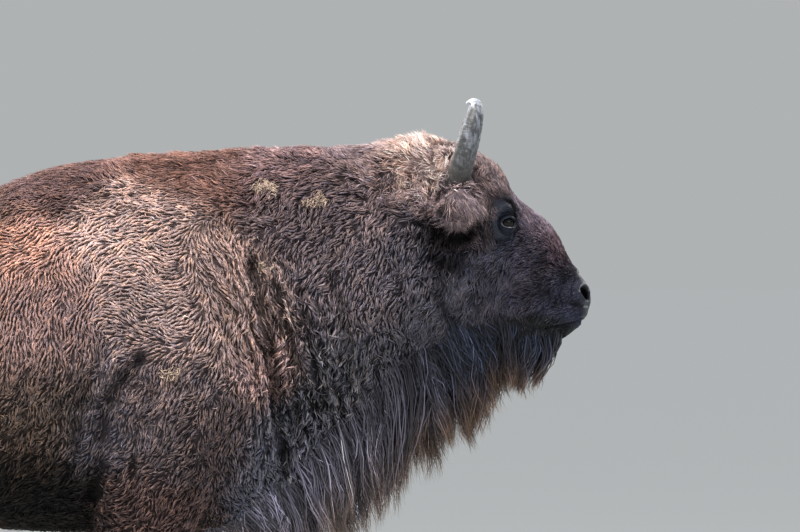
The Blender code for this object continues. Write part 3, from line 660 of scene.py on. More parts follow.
class Finish:
    """A material under construction."""

    def __init__(self, name, roughness, **constants):
        self.material = bpy.data.materials.new(name)
        self.material.use_nodes = True
        self.tree = self.material.node_tree
        self.shader = self.tree.nodes["Principled BSDF"]
        self.shader.inputs["Roughness"].default_value = roughness
        for socket, value in constants.items():
            self.shader.inputs[socket.replace("_", " ")].default_value = value

    def node(self, kind, settings=None, output=0, **inputs):
        """Adds a node: its settings first, then the values or links of its sockets."""
        node = self.tree.nodes.new("ShaderNode" + kind)
        for name, value in (settings or {}).items():
            setattr(node, name, value)
        for name, value in inputs.items():
            slot = node.inputs[int(name[1:]) if name[0] == "_" else name.replace("_", " ")]
            if isinstance(value, Socket):
                self.tree.links.new(value.output, slot)
            else:
                slot.default_value = value
        return Socket(self.tree, node.outputs[output])

    def place(self):
        return self.node("TexCoord", output=3)

    def attribute(self, name, output=0):
        return self.node("Attribute", {"attribute_name": name}, output)

    def axes(self):
        """The object's own x, y and z."""
        split = self.node("SeparateXYZ", Vector=self.place())
        return [Socket(self.tree, output) for output in split.output.node.outputs]

    def noise(self, scale, detail=2.0, vector=None):
        return self.node("TexNoise", Vector=vector or self.place(), Scale=scale, Detail=detail)

    def drawn_noise(self, scales, detail, vector=None):
        """Noise drawn out into streaks, with its own scale along each axis."""
        mapped = self.node("Mapping", Vector=vector or self.place(), Scale=scales)
        return self.noise(1.0, detail, mapped)

    def mix(self, share, first, second, blend="MIX"):
        """Two colours mixed; share 0 gives the first."""
        settings = {"data_type": "RGBA", "blend_type": blend}
        return self.node("Mix", settings, 2, _0=share, _6=first, _7=second)

    def span(self, value, low, high, to_low=0.0, to_high=1.0):
        """value mapped from low..high to to_low..to_high, held at both ends."""
        return self.node("MapRange", _0=value, _1=low, _2=high, _3=to_low, _4=to_high)

    def grey(self, value):
        return self.node("CombineColor", _0=value, _1=value, _2=value)

    def bump(self, height, distance, strength=1.0, normal=None):
        inputs = {"Height": height, "Distance": distance, "Strength": strength}
        if normal:
            inputs["Normal"] = normal
        return self.node("Bump", **inputs)

    def feed(self, socket, value):
        self.tree.links.new(value.output, self.shader.inputs[socket])


def skin_finish():
    """Dark hide with the coat's markings, wet leather on the nose and lined skin round the eyes, its
    wrinkles painted lighter on the crests and darker in the creases as light and shade.
    """
    f = Finish("bison_skin", 0.85, Specular_IOR_Level=0.22)
    bare = f.attribute("bare", 2)
    fine = f.noise(420.0, 3.0)
    coarse = f.noise(90.0, 3.0)
    x, _, z = f.axes()
    from_eye_x = x - EYE_CENTRE[0]
    from_eye_z = z - EYE_CENTRE[2]
    away = (from_eye_x * from_eye_x + from_eye_z * from_eye_z) ** 0.5
    turn = away * 1500.0 + coarse * 14.0 + from_eye_x * 120.0
    lines = turn.maths("SINE", turn) * 0.5 + 0.5
    close = f.span(away, 0.030, 0.075, 1.0, 0.0)
    lined = lines * close * f.span(away, 0.0185, 0.0235)
    under = f.mix(1.0, f.attribute("coat_colour"), f.grey(coarse * 0.5 + fine * 0.6), "MULTIPLY")
    hide = f.mix(fine, (0.006, 0.008, 0.014, 1), (0.034, 0.040, 0.062, 1))
    # painted light and shade: the wrinkles round the eyes are paler on their crests and darker in their
    # creases
    hide = f.mix(lined * 0.6, hide, (0.088, 0.092, 0.122, 1))
    # pale lid rims and tracks of tears, and a painted highlight on the nostrils' upper rims
    hide = f.mix(f.attribute("pale", 2), hide, (0.60, 0.57, 0.60, 1))
    f.feed("Base Color", f.mix(bare, under, hide))
    f.feed("Roughness", f.span(bare, 0.0, 1.0, 0.88, 0.40))
    pebbles = f.node("TexVoronoi", {"feature": "F1"}, Vector=f.place(), Scale=520.0)
    hairs = f.bump(fine + coarse * 2.0, 0.0030, 0.6)
    creased = f.bump(bare * lined, 0.0022, 0.9, hairs)
    f.feed("Normal", f.bump(bare * pebbles, 0.0009, 0.6, creased))
    return f.material


def coat_finish(name, root, tip, roughness, gloss):
    """Hair in the coat's markings, darker at the roots, with strands along each lock."""
    f = Finish(name, roughness, Specular_IOR_Level=gloss)
    along = f.attribute("along", 2)
    spot = f.node("UVMap", {"uv_map": "OFBake"})
    strands = f.drawn_noise((1300.0, 800.0, 1.0), 2.0, spot)
    clumps = f.noise(60.0, 2.0)
    light = f.span(along, 0.0, 1.0, root, tip) * (strands * 0.9 + 0.55) * (clumps * 0.5 + 0.75)
    f.feed("Base Color", f.mix(1.0, f.attribute("coat_colour"), f.grey(light), "MULTIPLY"))
    f.feed("Normal", f.bump(strands, 0.0016, 0.6))
    return f.material


def eye_finish(settings):
    """A dark iris with a pupil wider than high, a pale rim round it and a wet surface."""
    f = Finish("bison_eye", 0.07, Specular_IOR_Level=0.24)
    x, y, z = f.axes()
    outward = y.maths("ABSOLUTE", y)
    gaze = Vector(EYE_GAZE).normalized()
    level = Vector((gaze.y, -gaze.x, 0)).normalized()
    upward = level.cross(gaze)

    def component(direction):
        parts = zip((x, outward, z), EYE_CENTRE, direction)
        first, second, third = ((axis - centre) * amount for axis, centre, amount in parts)
        return first + second + third

    across = component(level)
    up = component(upward)
    ring = (across * across + up * up) ** 0.5
    pupil_across = across / PUPIL[0]
    pupil_up = up / PUPIL[1]
    pupil = (pupil_across * pupil_across + pupil_up * pupil_up) ** 0.5
    fibres = f.noise(900.0, 3.0)
    coloured = f.mix(fibres, (0.003, 0.002, 0.002, 1), (*settings.iris, 1))
    coloured = f.mix(f.span(pupil, 0.9, 1.05), (0.002, 0.002, 0.003, 1), coloured)
    f.feed("Base Color", f.mix(f.span(ring, *IRIS_RIM), coloured, (*settings.white, 1)))
    return f.material


def horn_finish(settings):
    """Worn grey horn: pale tip, streaked shaft, dark and finely ringed root."""
    f = Finish("bison_horn", 0.5, Coat_Weight=0.10, Coat_Roughness=0.35)
    along = f.attribute("along", 2)
    streaks = f.drawn_noise((150.0, 150.0, 26.0), 5.0)
    blotches = f.noise(42.0, 4.0)
    cracks = f.drawn_noise((60.0, 60.0, 240.0), 2.0)
    grimy_shaft = (*(0.14 * value for value in settings.pale), 1)
    grimy_base = (*(0.40 * value for value in settings.dark), 1)
    worn = f.mix(f.span(streaks, 0.38, 0.62), grimy_shaft, (*settings.pale, 1))
    base = f.mix(streaks, grimy_base, (*settings.dark, 1))
    stained = f.mix(f.span(blotches, 0.46, 0.57), worn, (0.042, 0.044, 0.048, 1))
    shaft = f.mix(f.span(along + blotches * 0.35, 0.36, 0.66), base, stained)
    tip = f.mix(streaks, (0.50, 0.53, 0.60, 1), (0.72, 0.77, 0.86, 1))
    f.feed("Base Color", f.mix(f.span(along + streaks * 0.2, 0.72, 0.92), shaft, tip))
    f.feed("Roughness", f.span(streaks, 0.2, 0.8, 0.40, 0.62))
    fine = f.bump(streaks, 0.0016, 0.8)
    f.feed("Normal", f.bump(f.span(cracks, 0.40, 0.60), 0.0010, 0.5, fine))
    return f.material


def hoof_finish():
    """Dark horn with growth lines round it and dusty scuffs."""
    f = Finish("bison_hoof", 0.5)
    lines = f.drawn_noise((12.0, 12.0, 260.0), 3.0)
    scuffs = f.noise(70.0, 4.0)
    dark, dusty = (0.022, 0.019, 0.017, 1), (0.085, 0.072, 0.060, 1)
    f.feed("Base Color", f.mix(f.span(scuffs, 0.35, 0.75), dark, dusty))
    f.feed("Roughness", f.span(scuffs, 0.3, 0.7, 0.38, 0.68))
    f.feed("Normal", f.bump(lines, 0.0020, 0.7))
    return f.material


# ---- skin ----

VOXEL = 0.0060
SWELL = 0.0008  # closes the gaps between neighbouring solids
SKIN_TRIANGLES = 165000
FACE_FROM = 0.86  # the head in front of here keeps its fine grid
# painted shade on the skin between locks: how bright it is left, and how much more crimped wool darkens
# it
SKIN_PAINTED_SHADE = (0.83, 0.45)  # brightness of the skin between locks, and what crimped wool takes from it


def fused_flesh(names):
    """One closed mesh round the named solids, on an even grid."""
    whole = bmesh.new()
    for name in names:
        part = merged_solid(name)
        for vert, move in [(vert, vert.normal * SWELL) for vert in part.verts]:
            vert.co += move
        loose = mesh_from(part, "loose")
        whole.from_mesh(loose)
        bpy.data.meshes.remove(loose)
    mesh = mesh_from(whole, "flesh")
    obj = new_object("flesh", mesh)
    remesh = obj.modifiers.new("fuse", "REMESH")
    remesh.mode = "VOXEL"
    remesh.voxel_size = VOXEL
    fused = evaluated_copy(obj, "fused")
    bpy.data.objects.remove(obj)
    bpy.data.meshes.remove(mesh)
    return fused


def smoothed(mesh, rounds, factor, chosen=None):
    """Evens out the mesh, or the vertices for which chosen says so."""
    bm = bmesh.new()
    bm.from_mesh(mesh)
    verts = [vert for vert in bm.verts if chosen is None or chosen(vert.co)]
    for _ in range(rounds):
        bmesh.ops.smooth_vert(
            bm, verts=verts, factor=factor, use_axis_x=True, use_axis_y=True, use_axis_z=True
        )
    bm.to_mesh(mesh)
    bm.free()


def is_near(place, radius):
    """A test for points that close to a place on either side of the head."""
    centre = Vector(place)
    return lambda co: (Vector((co.x, abs(co.y), co.z)) - centre).length < radius


def refined(mesh, *places):
    """Splits the faces around places of the head, given as (place, radius)."""
    bm = bmesh.new()
    bm.from_mesh(mesh)
    tests = [is_near(place, radius) for place, radius in places]
    edges = set()
    for face in bm.faces:
        centre = face.calc_center_median()
        if any(test(centre) for test in tests):
            edges.update(face.edges)
    bmesh.ops.subdivide_edges(bm, edges=list(edges), cuts=1, use_grid_fill=True, smooth=0.0)
    bm.to_mesh(mesh)
    bm.free()


def coat_depth(points):
    """How deep the skin lies under the coat's outline."""
    zones = COATS.values()
    deep = shares(points, zones) @ np.array([zone.hair.depth for zone in zones])
    deep = deep * (1 - 0.9 * bareness(points))
    deep = deep * smooth_step(points[:, 2], 0.075, 0.13)
    horn = [place for place, _ in HORN_LINE]
    at_horn = smooth_step(to_polyline(folded(points), horn), 0.030, 0.055)
    return deep * (0.15 + 0.85 * at_horn)


def sink(mesh, amount, rounds=3):
    """Moves the surface in by what amount says at each point, in even steps."""
    arrays = arrays_of(mesh)
    deep = amount(arrays.points)
    points = arrays.points
    for _ in range(rounds):
        points = points - arrays_of(mesh).normals * (deep / rounds)[:, None]
        set_points(mesh, points)
    return points


def frame_at(points, centre, axis):
    """Places beside a centre on the left side: how far out, forward and up from it."""
    axis = np.array(axis) / np.linalg.norm(axis)
    back = np.cross((0.0, 0.0, 1.0), axis)
    back = back / np.linalg.norm(back)
    at = folded(points) - np.array(centre)
    return at @ axis, -(at @ back), at @ np.cross(axis, back)


def pushed(points, axis, shift):
    """The points moved along an axis given for the left side."""
    axis = np.array(axis) / np.linalg.norm(axis)
    push = shift[:, None] * axis
    push[:, 1] *= np.where(points[:, 1] < 0, -1.0, 1.0)
    return points + push


def slit_distance(forward, high):
    """1 on the edge of the lids, less between them and more outside."""
    half_length, above, below = EYE_SLIT
    across = forward / half_length
    middle = -0.0010 - 0.0045 * np.maximum(across, 0) ** 2
    upward = high - middle
    return np.hypot(across, upward / np.where(upward > 0, above, below))


def lid_creases(slit, creases, share):
    """How far creases beside a lid go in, each given by its depth, place and width."""
    shift = 0.0
    for depth, place, width in creases:
        shift = shift - depth * bell(slit, place, width) * share
    return shift


def lids(points):
    """Draws the surface round each eye into lids that hug the eyeball, and out of sight in the slit."""
    out, forward, high = frame_at(points, EYE_CENTRE, EYE_AXIS)
    away = np.hypot(forward, high)
    slit = slit_distance(forward, high)
    ball = np.sqrt(np.clip(EYE_RADIUS**2 - away**2, 0, None))
    over = np.sqrt(np.clip((EYE_RADIUS + LID_GAP) ** 2 - away**2, 0, None))
    above = smooth_step(high, -0.004, 0.006)
    rim = 0.0016 * bell(slit, 1.13, 0.12) + above * 0.0026 * bell(slit, 1.32, 0.20)
    creases = lid_creases(slit, UPPER_LID_CREASES, above)
    creases = creases + lid_creases(slit, LOWER_LID_CREASES, 1 - above)
    brow = 0.0065 * bell(away, 0.041, 0.006) * smooth_step(high, 0.002, 0.018)
    brow += 0.0030 * bell(away, 0.031, 0.0035) * smooth_step(high, 0.002, 0.012)
    brow += 0.0020 * bell(away, 0.034, 0.0030) * smooth_step(-high, 0.006, 0.016)
    hug = 1 - smooth_step(away, 0.0175, 0.036)
    lid = over * hug + out * (1 - hug)
    fade = 1 - smooth_step(away, 0.040, 0.056)
    target = np.where(slit < 1.0, ball - 0.0045, lid + (rim + creases + brow) * fade)
    near = (away < 0.060) & (out > -0.03)
    return pushed(points, EYE_AXIS, np.where(near, target - out, 0.0))


def nostrils(points):
    """Hollows each nostril and raises the wing round it."""
    out, forward, high = frame_at(points, NOSTRIL, NOSTRIL_AXIS)
    half_width, half_height, depth = NOSTRIL_SIZE
    lean = forward + 0.35 * high
    half_width = half_width * (1 - 0.30 * np.clip(-high / half_height, -0.4, 1))
    away = np.hypot(lean / half_width, high / half_height)
    hollow = -depth * (1 - smooth_step(away, 0.45, 1.0))
    wing = 0.0062 * bell(away, 1.30, 0.22) * (0.5 + 0.5 * np.tanh((high + 0.3 * lean) / 0.006))
    near = (np.abs(out) < 0.035) & (away < 3.5)
    points = pushed(points, NOSTRIL_AXIS, np.where(near, hollow + wing, 0.0))
    at = folded(points) * (1, 0, 1)
    groove = np.zeros(len(points))
    for line in NOSE_CREASES.values():
        groove = np.maximum(groove, bell(to_polyline(at, [(x, 0, z) for x, z in line]), 0, 0.0050))
    side = smooth_step(np.abs(points[:, 1]), 0.010, 0.030) * (points[:, 0] > 1.14)
    points = pushed(points, NOSTRIL_AXIS, -0.0055 * groove * side)
    step = bell(to_polyline(at, [(1.196, 0, 1.312), (1.208, 0, 1.300)]), 0, 0.0065)
    return points - np.array((0.8, 0, 0.6)) * (0.0050 * step)[:, None]


def mouth(points, normals):
    """Cuts the line of the mouth and swells the lips."""
    at = folded(points)
    reach = np.full(len(points), FAR)
    above = np.zeros(len(points))
    for gap in gaps_to_line(at[:, (0, 2)], MOUTH):
        length = np.linalg.norm(gap, axis=1)
        above = np.where(length < reach, gap[:, 1], above)
        reach = np.minimum(reach, length)
    here = (at[:, 0] > 1.10) & (reach < 0.03)
    lips = -0.0055 * bell(reach, 0, 0.0030) + 0.0024 * bell(above, 0.011, 0.008)
    lips += 0.0020 * bell(above, -0.009, 0.007)
    return points + normals * (lips * here)[:, None]


def thinned(mesh):
    """The skin with fewer triangles, all of them saved behind the face."""
    obj = new_object("thinned", mesh)
    group = obj.vertex_groups.new(name="coarse")
    arrays = arrays_of(mesh)
    behind = np.flatnonzero(arrays.points[:, 0] < FACE_FROM)
    group.add([int(index) for index in behind], 1.0, "REPLACE")
    thin = obj.modifiers.new("thin", "DECIMATE")
    thin.ratio = min(1.0, SKIN_TRIANGLES / len(arrays.triangles))
    thin.vertex_group = "coarse"
    skin = evaluated_copy(obj, "bison_skin")
    bpy.data.objects.remove(obj)
    return skin


def nostril_painted_shade(points):
    """1 deep inside the nostrils, where the skin is painted black as shade."""
    out, forward, high = frame_at(points, NOSTRIL, NOSTRIL_AXIS)
    return smooth_step(-out, 0.003, 0.010) * (np.hypot(forward, high) < 0.024) * (points[:, 0] > 1.15)


def pale_rims_and_nostril_highlight(points):
    """1 on the white edge of the lids, less on the track of tears, and a painted highlight of half
    strength on the wet upper rim of the nostrils.
    """
    out, forward, high = frame_at(points, EYE_CENTRE, EYE_AXIS)
    rims = bell(slit_distance(forward, high), 1.06, 0.055) * (out > 0) * smooth_step(-high, -0.003, 0.004)
    rims = rims * (0.35 + 0.65 * smooth_step(forward, -0.014, 0.004))
    out, forward, high = frame_at(points, NOSTRIL, NOSTRIL_AXIS)
    half_width, half_height, _ = NOSTRIL_SIZE
    # painted highlight: the wet upper rim of each nostril, coloured pale as if catching light
    wet = bell(np.hypot(forward / half_width, high / half_height), 1.22, 0.16) * (high > 0.003)
    rims = np.maximum(rims, 0.50 * wet * (points[:, 0] > 1.19))
    tear = to_polyline(folded(points) * (1, 0, 1), [(x, 0, z) for x, z in TEAR_LINE])
    return np.clip(rims + 0.5 * bell(tear, 0, 0.0022) * (points[:, 2] < 1.41), 0, 1)


def colour_skin(mesh, settings):
    """Stores with the skin its markings, darkened by painted shade between the locks and inside the
    nostrils, its bare places, and its pale rims, which include a painted highlight on the nostrils.
    """
    points = arrays_of(mesh).points
    # painted shade: the skin inside the nostrils is coloured black
    inside = nostril_painted_shade(points)
    most, less = SKIN_PAINTED_SHADE
    # painted shade: the skin between locks is darkened, most under crimped wool
    shade_between_locks = most - less * hair_at(points)[0].crimp
    colours = markings(points) * settings.brightness * (shade_between_locks * (1 - inside))[:, None]
    add_colours(mesh, "coat_colour", colours)
    add_values(mesh, "bare", bareness(points) * (1 - inside))
    add_values(mesh, "pale", pale_rims_and_nostril_highlight(points))


def build_skin(settings):
    """The whole hide as one mesh, with its colours and its bare places."""
    mesh = fused_flesh([*FLESH, "left_eye", "right_eye"])
    smoothed(mesh, 4, 0.5)
    smoothed(mesh, 14, 0.5, lambda co: co.x < 0.88)
    sink(mesh, lambda points: coat_depth(points) + fold_depth(points))
    smoothed(mesh, 3, 0.5, lambda co: co.x < 0.98)
    mouth_places = [((x, 0.03, z), 0.035) for x, z in MOUTH]
    refined(mesh, (EYE_CENTRE, 0.062), (NOSTRIL, 0.066), *mouth_places)
    refined(mesh, (EYE_CENTRE, 0.048), (NOSTRIL, 0.036))
    refined(mesh, (EYE_CENTRE, 0.031))
    smoothed(mesh, 12, 0.5, is_near(EYE_CENTRE, 0.06))
    smoothed(mesh, 6, 0.5, is_near(NOSTRIL, 0.04))
    mesh = thinned(mesh)
    arrays = arrays_of(mesh)
    set_points(mesh, mouth(arrays.points, arrays.normals))
    set_points(mesh, nostrils(arrays_of(mesh).points))
    set_points(mesh, lids(arrays_of(mesh).points))
    mesh.shade_smooth()
    colour_skin(mesh, settings)
    print(f"bison_skin: {len(mesh.polygons)} triangles")
    return mesh


# ---- locks of hair ----


TRIES = 3.0  # roots tried for each one wanted; only one in each cell is kept
CELL_SHARE = 0.86  # size of a cell against the spacing
PATCH = 0.003  # size of a lock's patch on its bake map
LOCK_PROFILES = {1: (1.0,), 2: (1.0, 0.70)}  # widths along a lock of so many rings
RIDGED_FROM = 0.3  # hair with more crimp than this gathers in ridges


class Roots(NamedTuple):
    """Where locks grow from the skin."""

    place: np.ndarray
    normal: np.ndarray


def scatter(surface, spacing, allowed, rng, fullness=1.0):
    """Roots spread evenly over a surface, as far apart as spacing says at each place."""
    corners = surface.points[surface.triangles]
    sides = corners[:, 1] - corners[:, 0], corners[:, 2] - corners[:, 0]
    area = np.linalg.norm(np.cross(*sides), axis=1) / 2
    centres = corners.mean(axis=1)
    wanted = area * allowed(centres) / spacing(centres) ** 2 * fullness
    tries = rng.poisson(wanted * TRIES)
    which = np.repeat(np.arange(len(tries)), tries)
    a, b = rng.random(len(which)), rng.random(len(which))
    flip = a + b > 1
    a, b = np.where(flip, 1 - a, a), np.where(flip, 1 - b, b)
    weights = np.stack([1 - a - b, a, b], axis=1)[:, :, None]
    place = (corners[which] * weights).sum(axis=1)
    normal = unit((surface.normals[surface.triangles[which]] * weights).sum(axis=1))
    cell_size = spacing(place) * CELL_SHARE / math.sqrt(fullness)
    size_class = np.round(np.log(cell_size) * 8) / 8
    cell = np.floor(place / np.exp(size_class)[:, None]).astype(np.int64)
    key = cell_key(cell) ^ (np.round(size_class * 8).astype(np.int64) * 2654435761)
    order = rng.permutation(len(key))
    kept = np.sort(order[np.unique(key[order], return_index=True)[1]])
    return Roots(place[kept], normal[kept])


def body_map(points):
    """An unwrap of the body: how far along it and how far round, both within 0..1."""
    trunk = points[:, 2] > 0.66
    axis_z = np.where(trunk, 1.15 + 0.22 * smooth_step(points[:, 0], 0.5, 1.0), 0.55)
    round_trunk = np.arctan2(points[:, 1], points[:, 2] - axis_z) / (2 * math.pi) + 0.5
    legs_x = np.where(points[:, 0] < -0.4, -1.02, 0.20)
    side = np.sign(points[:, 1])
    round_leg = np.arctan2(points[:, 0] - legs_x, points[:, 1] - 0.15 * side) / (2 * math.pi) + 0.5
    round_leg = (round_leg + (side > 0) + 2 * (points[:, 0] < -0.4)) / 4
    along = np.where(trunk, points[:, 0], points[:, 2])
    around = np.where(trunk, round_trunk, round_leg)
    return along, around


class Locks(NamedTuple):
    """Many locks, each a line of places from root to tip with a width along it."""

    places: np.ndarray  # locks x stations x 3
    aside: np.ndarray  # locks x 3, across the lock
    half_width: np.ndarray  # locks x rings
    thickness: float  # against the width
    tip_power: float  # how late the colour turns to that of the tip
    root_colour: np.ndarray  # locks x 3
    tip_colour: np.ndarray


def lock_mesh(name, locks):
    """A mesh of closed three-sided locks, pointed at both ends."""
    count, stations = locks.places.shape[:2]
    rings = stations - 2
    per_lock = 2 + 3 * rings
    ahead = locks.places[:, 2:] - locks.places[:, :-2]
    ahead = ahead / np.maximum(np.linalg.norm(ahead, axis=2, keepdims=True), 1e-9)
    aside = locks.aside[:, None] - ahead * (ahead * locks.aside[:, None]).sum(axis=2, keepdims=True)
    aside = aside / np.maximum(np.linalg.norm(aside, axis=2, keepdims=True), 1e-9)
    wide = aside * locks.half_width[:, :, None]
    high = np.cross(ahead, aside) * (locks.half_width * locks.thickness)[:, :, None]
    middle = locks.places[:, 1:-1]
    corners = (middle - wide - 0.35 * high, middle + wide - 0.35 * high, middle + 0.65 * high)
    sides = np.stack(corners, axis=2).reshape(count, -1, 3)
    points = np.concatenate([locks.places[:, :1], sides, locks.places[:, -1:]], axis=1)
    pattern = []
    for k in range(3):
        following = (k + 1) % 3
        pattern.append((0, 1 + following, 1 + k))
        for ring in range(rings - 1):
            low, top = 1 + 3 * ring, 4 + 3 * ring
            pattern.append((low + k, top + following, top + k))
            pattern.append((low + k, low + following, top + following))
        last = 1 + 3 * (rings - 1)
        pattern.append((last + k, last + following, per_lock - 1))
    pattern = np.array(pattern)
    faces = (pattern[None] + per_lock * np.arange(count)[:, None, None]).reshape(-1, 3)
    mesh = bpy.data.meshes.new(name)
    mesh.vertices.add(count * per_lock)
    mesh.loops.add(faces.size)
    mesh.polygons.add(len(faces))
    mesh.vertices.foreach_set("co", points.astype(np.float32).ravel())
    mesh.loops.foreach_set("vertex_index", faces.astype(np.int32).ravel())
    mesh.polygons.foreach_set("loop_start", np.arange(0, faces.size, 3, dtype=np.int32))
    mesh.update(calc_edges=True)
    mesh.shade_smooth()
    along = np.concatenate([[0.0], np.repeat(np.linspace(0, 1, stations)[1:-1], 3), [1.0]])
    add_values(mesh, "along", np.tile(along, count))
    share = along[None, :, None] ** locks.tip_power
    toned = locks.root_colour[:, None] * (1 - share) + locks.tip_colour[:, None] * share
    add_colours(mesh, "coat_colour", np.clip(toned, 0, 1).reshape(-1, 3))
    span_x, span_y = body_map(locks.places[:, 0])
    origin = np.stack([stretched(span_x), stretched(span_y)], axis=1)
    cross = np.concatenate([[0.5], np.tile((0.0, 1.0, 0.5), rings), [0.5]])
    local = np.stack([cross, along], axis=1) * PATCH
    layer = mesh.uv_layers.new(name="OFBake")
    uv = origin[:, None] + local[None, pattern.ravel()]
    layer.uv.foreach_set("vector", uv.astype(np.float32).ravel())
    return mesh


def stretched(values):
    """The values over 0..1, leaving room for one patch."""
    low, high = values.min(), values.max()
    return (values - low) / max(high - low, 1e-9) * (1 - 1.2 * PATCH) + 0.1 * PATCH


def hair_at(points):
    """The kind of hair at the points, as a Hair of arrays, and the way it lies."""
    zones = list(COATS.values())
    weights = shares(points, zones)
    lie = weights @ np.array([zone.lie for zone in zones])
    lie[:, 1] *= np.where(points[:, 1] < 0, -1, 1)
    return Hair(*(weights @ np.array([zone.hair for zone in zones])).T), lie


def tangent(vectors, normals):
    """The vectors laid into the surface."""
    return unit(vectors - normals * (vectors * normals).sum(axis=1, keepdims=True))


def turned(vectors, normals, angles):
    """The vectors turned about the normals."""
    cos, sin = np.cos(angles)[:, None], np.sin(angles)[:, None]
    return vectors * cos + np.cross(normals, vectors) * sin


def from_core(points):
    """The way out from the line inside trunk, neck and head."""
    nearest = np.full(len(points), FAR)
    out = np.zeros_like(points)
    for gap in gaps_to_line(points[:, (0, 2)], CORE):
        way = np.stack([gap[:, 0], points[:, 1], gap[:, 1]], axis=1)
        length = np.linalg.norm(way, axis=1)
        out = np.where((length < nearest)[:, None], way, out)
        nearest = np.minimum(nearest, length)
    return unit(out)


class Crimp:
    """Ridges of crimped wool along the lie of the coat, which fork and end like the lines of a hand."""

    CELL = 0.018

    def __init__(self, points):
        cells = np.unique(np.floor(points / self.CELL).astype(np.int64), axis=0)
        around = np.array(list(np.ndindex(5, 5, 5))) - 2
        cells = np.unique((cells[:, None] + around).reshape(-1, 3), axis=0)
        self.keys = self.key(cells)
        order = np.argsort(self.keys)
        self.keys, cells = self.keys[order], cells[order]
        jitter = np.stack([lattice(cells, seed) for seed in (21, 22, 23)], axis=1)
        self.centres = (cells + jitter) * self.CELL
        hair, lie = hair_at(self.centres)
        out = from_core(self.centres)
        waver = (noise(self.centres, 32, 25) - 0.5) * 2.0
        across = turned(unit(np.cross(out, lie)), out, waver)
        self.rates = across / hair.wave[:, None]
        self.turns = lattice(cells, 24)

    def key(self, cells):
        return ((cells[:, 0] + 512) << 20) | ((cells[:, 1] + 512) << 10) | (cells[:, 2] + 512)

    def at(self, points):
        """The ridges as complex numbers: a ridge's crest is where the angle is zero."""
        cell = np.floor(points / self.CELL).astype(np.int64)
        total = np.zeros(len(points), dtype=complex)
        for step in np.ndindex(3, 3, 3):
            keys = self.key(cell + np.array(step) - 1)
            found = np.minimum(np.searchsorted(self.keys, keys), len(self.keys) - 1)
            gap = points - self.centres[found]
            weight = np.clip(1 - (gap**2).sum(axis=1) / self.CELL**2, 0, None) ** 2
            turn = (gap * self.rates[found]).sum(axis=1) + self.turns[found]
            total += np.where(self.keys[found] == keys, weight, 0) * np.exp(2j * math.pi * turn)
        return total

    def crest(self, points, normals, lie, wave):
        """The step to the nearest crest, the way it runs and how far off it is, 1 being a valley."""
        nudge = 0.001
        across = np.cross(normals, lie)
        here = self.at(points)
        turns = 2 * math.pi * nudge
        rate_along = np.angle(self.at(points + nudge * lie) * np.conj(here)) / turns
        rate_across = np.angle(self.at(points + nudge * across) * np.conj(here)) / turns
        steepness = np.maximum(rate_along**2 + rate_across**2, (0.25 / wave) ** 2)
        uphill = rate_along[:, None] * lie + rate_across[:, None] * across
        step = -(np.angle(here) / (2 * math.pi) / steepness)[:, None] * uphill
        length = np.linalg.norm(step, axis=1)
        step = step * np.minimum(1, 0.55 * wave / np.maximum(length, 1e-9))[:, None]
        way = unit(rate_across[:, None] * lie - rate_along[:, None] * across)
        off = np.abs(np.angle(here)) / math.pi
        return step, way * np.where((way * lie).sum(axis=1) < 0, -1, 1)[:, None], off


def on_ridges(place, normal, lie, heading, length, hold, wave):
    """Start, middle and end of locks drawn to the crests of their ridges, and how high each lies."""
    crimp = Crimp(place)
    loose = 0.55 + 0.75 * noise(place, 22, 26)
    hold, half = (hold * np.clip(loose, 0, 1.1))[:, None], 0.5 * length[:, None]
    step, first_way, _ = crimp.crest(place, normal, lie, wave)
    start = place + step * hold
    first_way = unit(first_way * 0.9 + heading * 0.1)
    middle = start + first_way * half
    step, way, off = crimp.crest(middle, normal, lie, wave)
    middle = middle + step * hold
    end = middle + unit(way * 0.9 + first_way * 0.1) * half
    step, _, _ = crimp.crest(end, normal, lie, wave)
    return start, middle, end + step * hold, 1 - 0.85 * off**3


def lock_colours(place, tip_place, hair, ridge, brightness, rng):
    """The colours of each lock's root and tip: the markings, with painted shade in the valleys between
    ridges and in the creases, lit crests tinted warmer and shaded valleys bluer, and stray hairs.
    """
    count = len(place)
    flecks = 1 + (noise(place, 75, 15) - 0.5) * (0.3 + 0.9 * hair.mess)
    # painted shade: locks down in the valleys between ridges are darker than those on the crests
    light = flecks * (0.50 + 0.50 * ridge)
    tone = brightness * light * np.exp(rng.normal(0, 1, count) * (0.12 + 0.45 * hair.stand))
    # painted light: locks on lit crests turn warmer and those in shaded valleys bluer, with some chance
    # mixed in
    painted_light_hue = np.clip(2.0 * np.log(light / light.mean()) + rng.normal(0, 0.4, count), -1.6, 1.4)[:, None]
    colour = markings(place) * tone[:, None] * (1 + painted_light_hue * np.array((0.09, 0.0, -0.14)))
    dark = 1 - smooth_step(colour.mean(axis=1), 0.05, 0.16)
    bright = 1.15 + 1.0 * hair.stand * rng.random(count) + 4.0 * dark * rng.random(count) ** 3
    # painted shade: each tip is darkened by how deep in a crease it lies, against its root
    tip = colour * (bright * in_shade(tip_place) / in_shade(place))[:, None]
    return colour * (0.70 - 0.35 * dark)[:, None], tip * np.array((1.03, 1.0, 0.92))


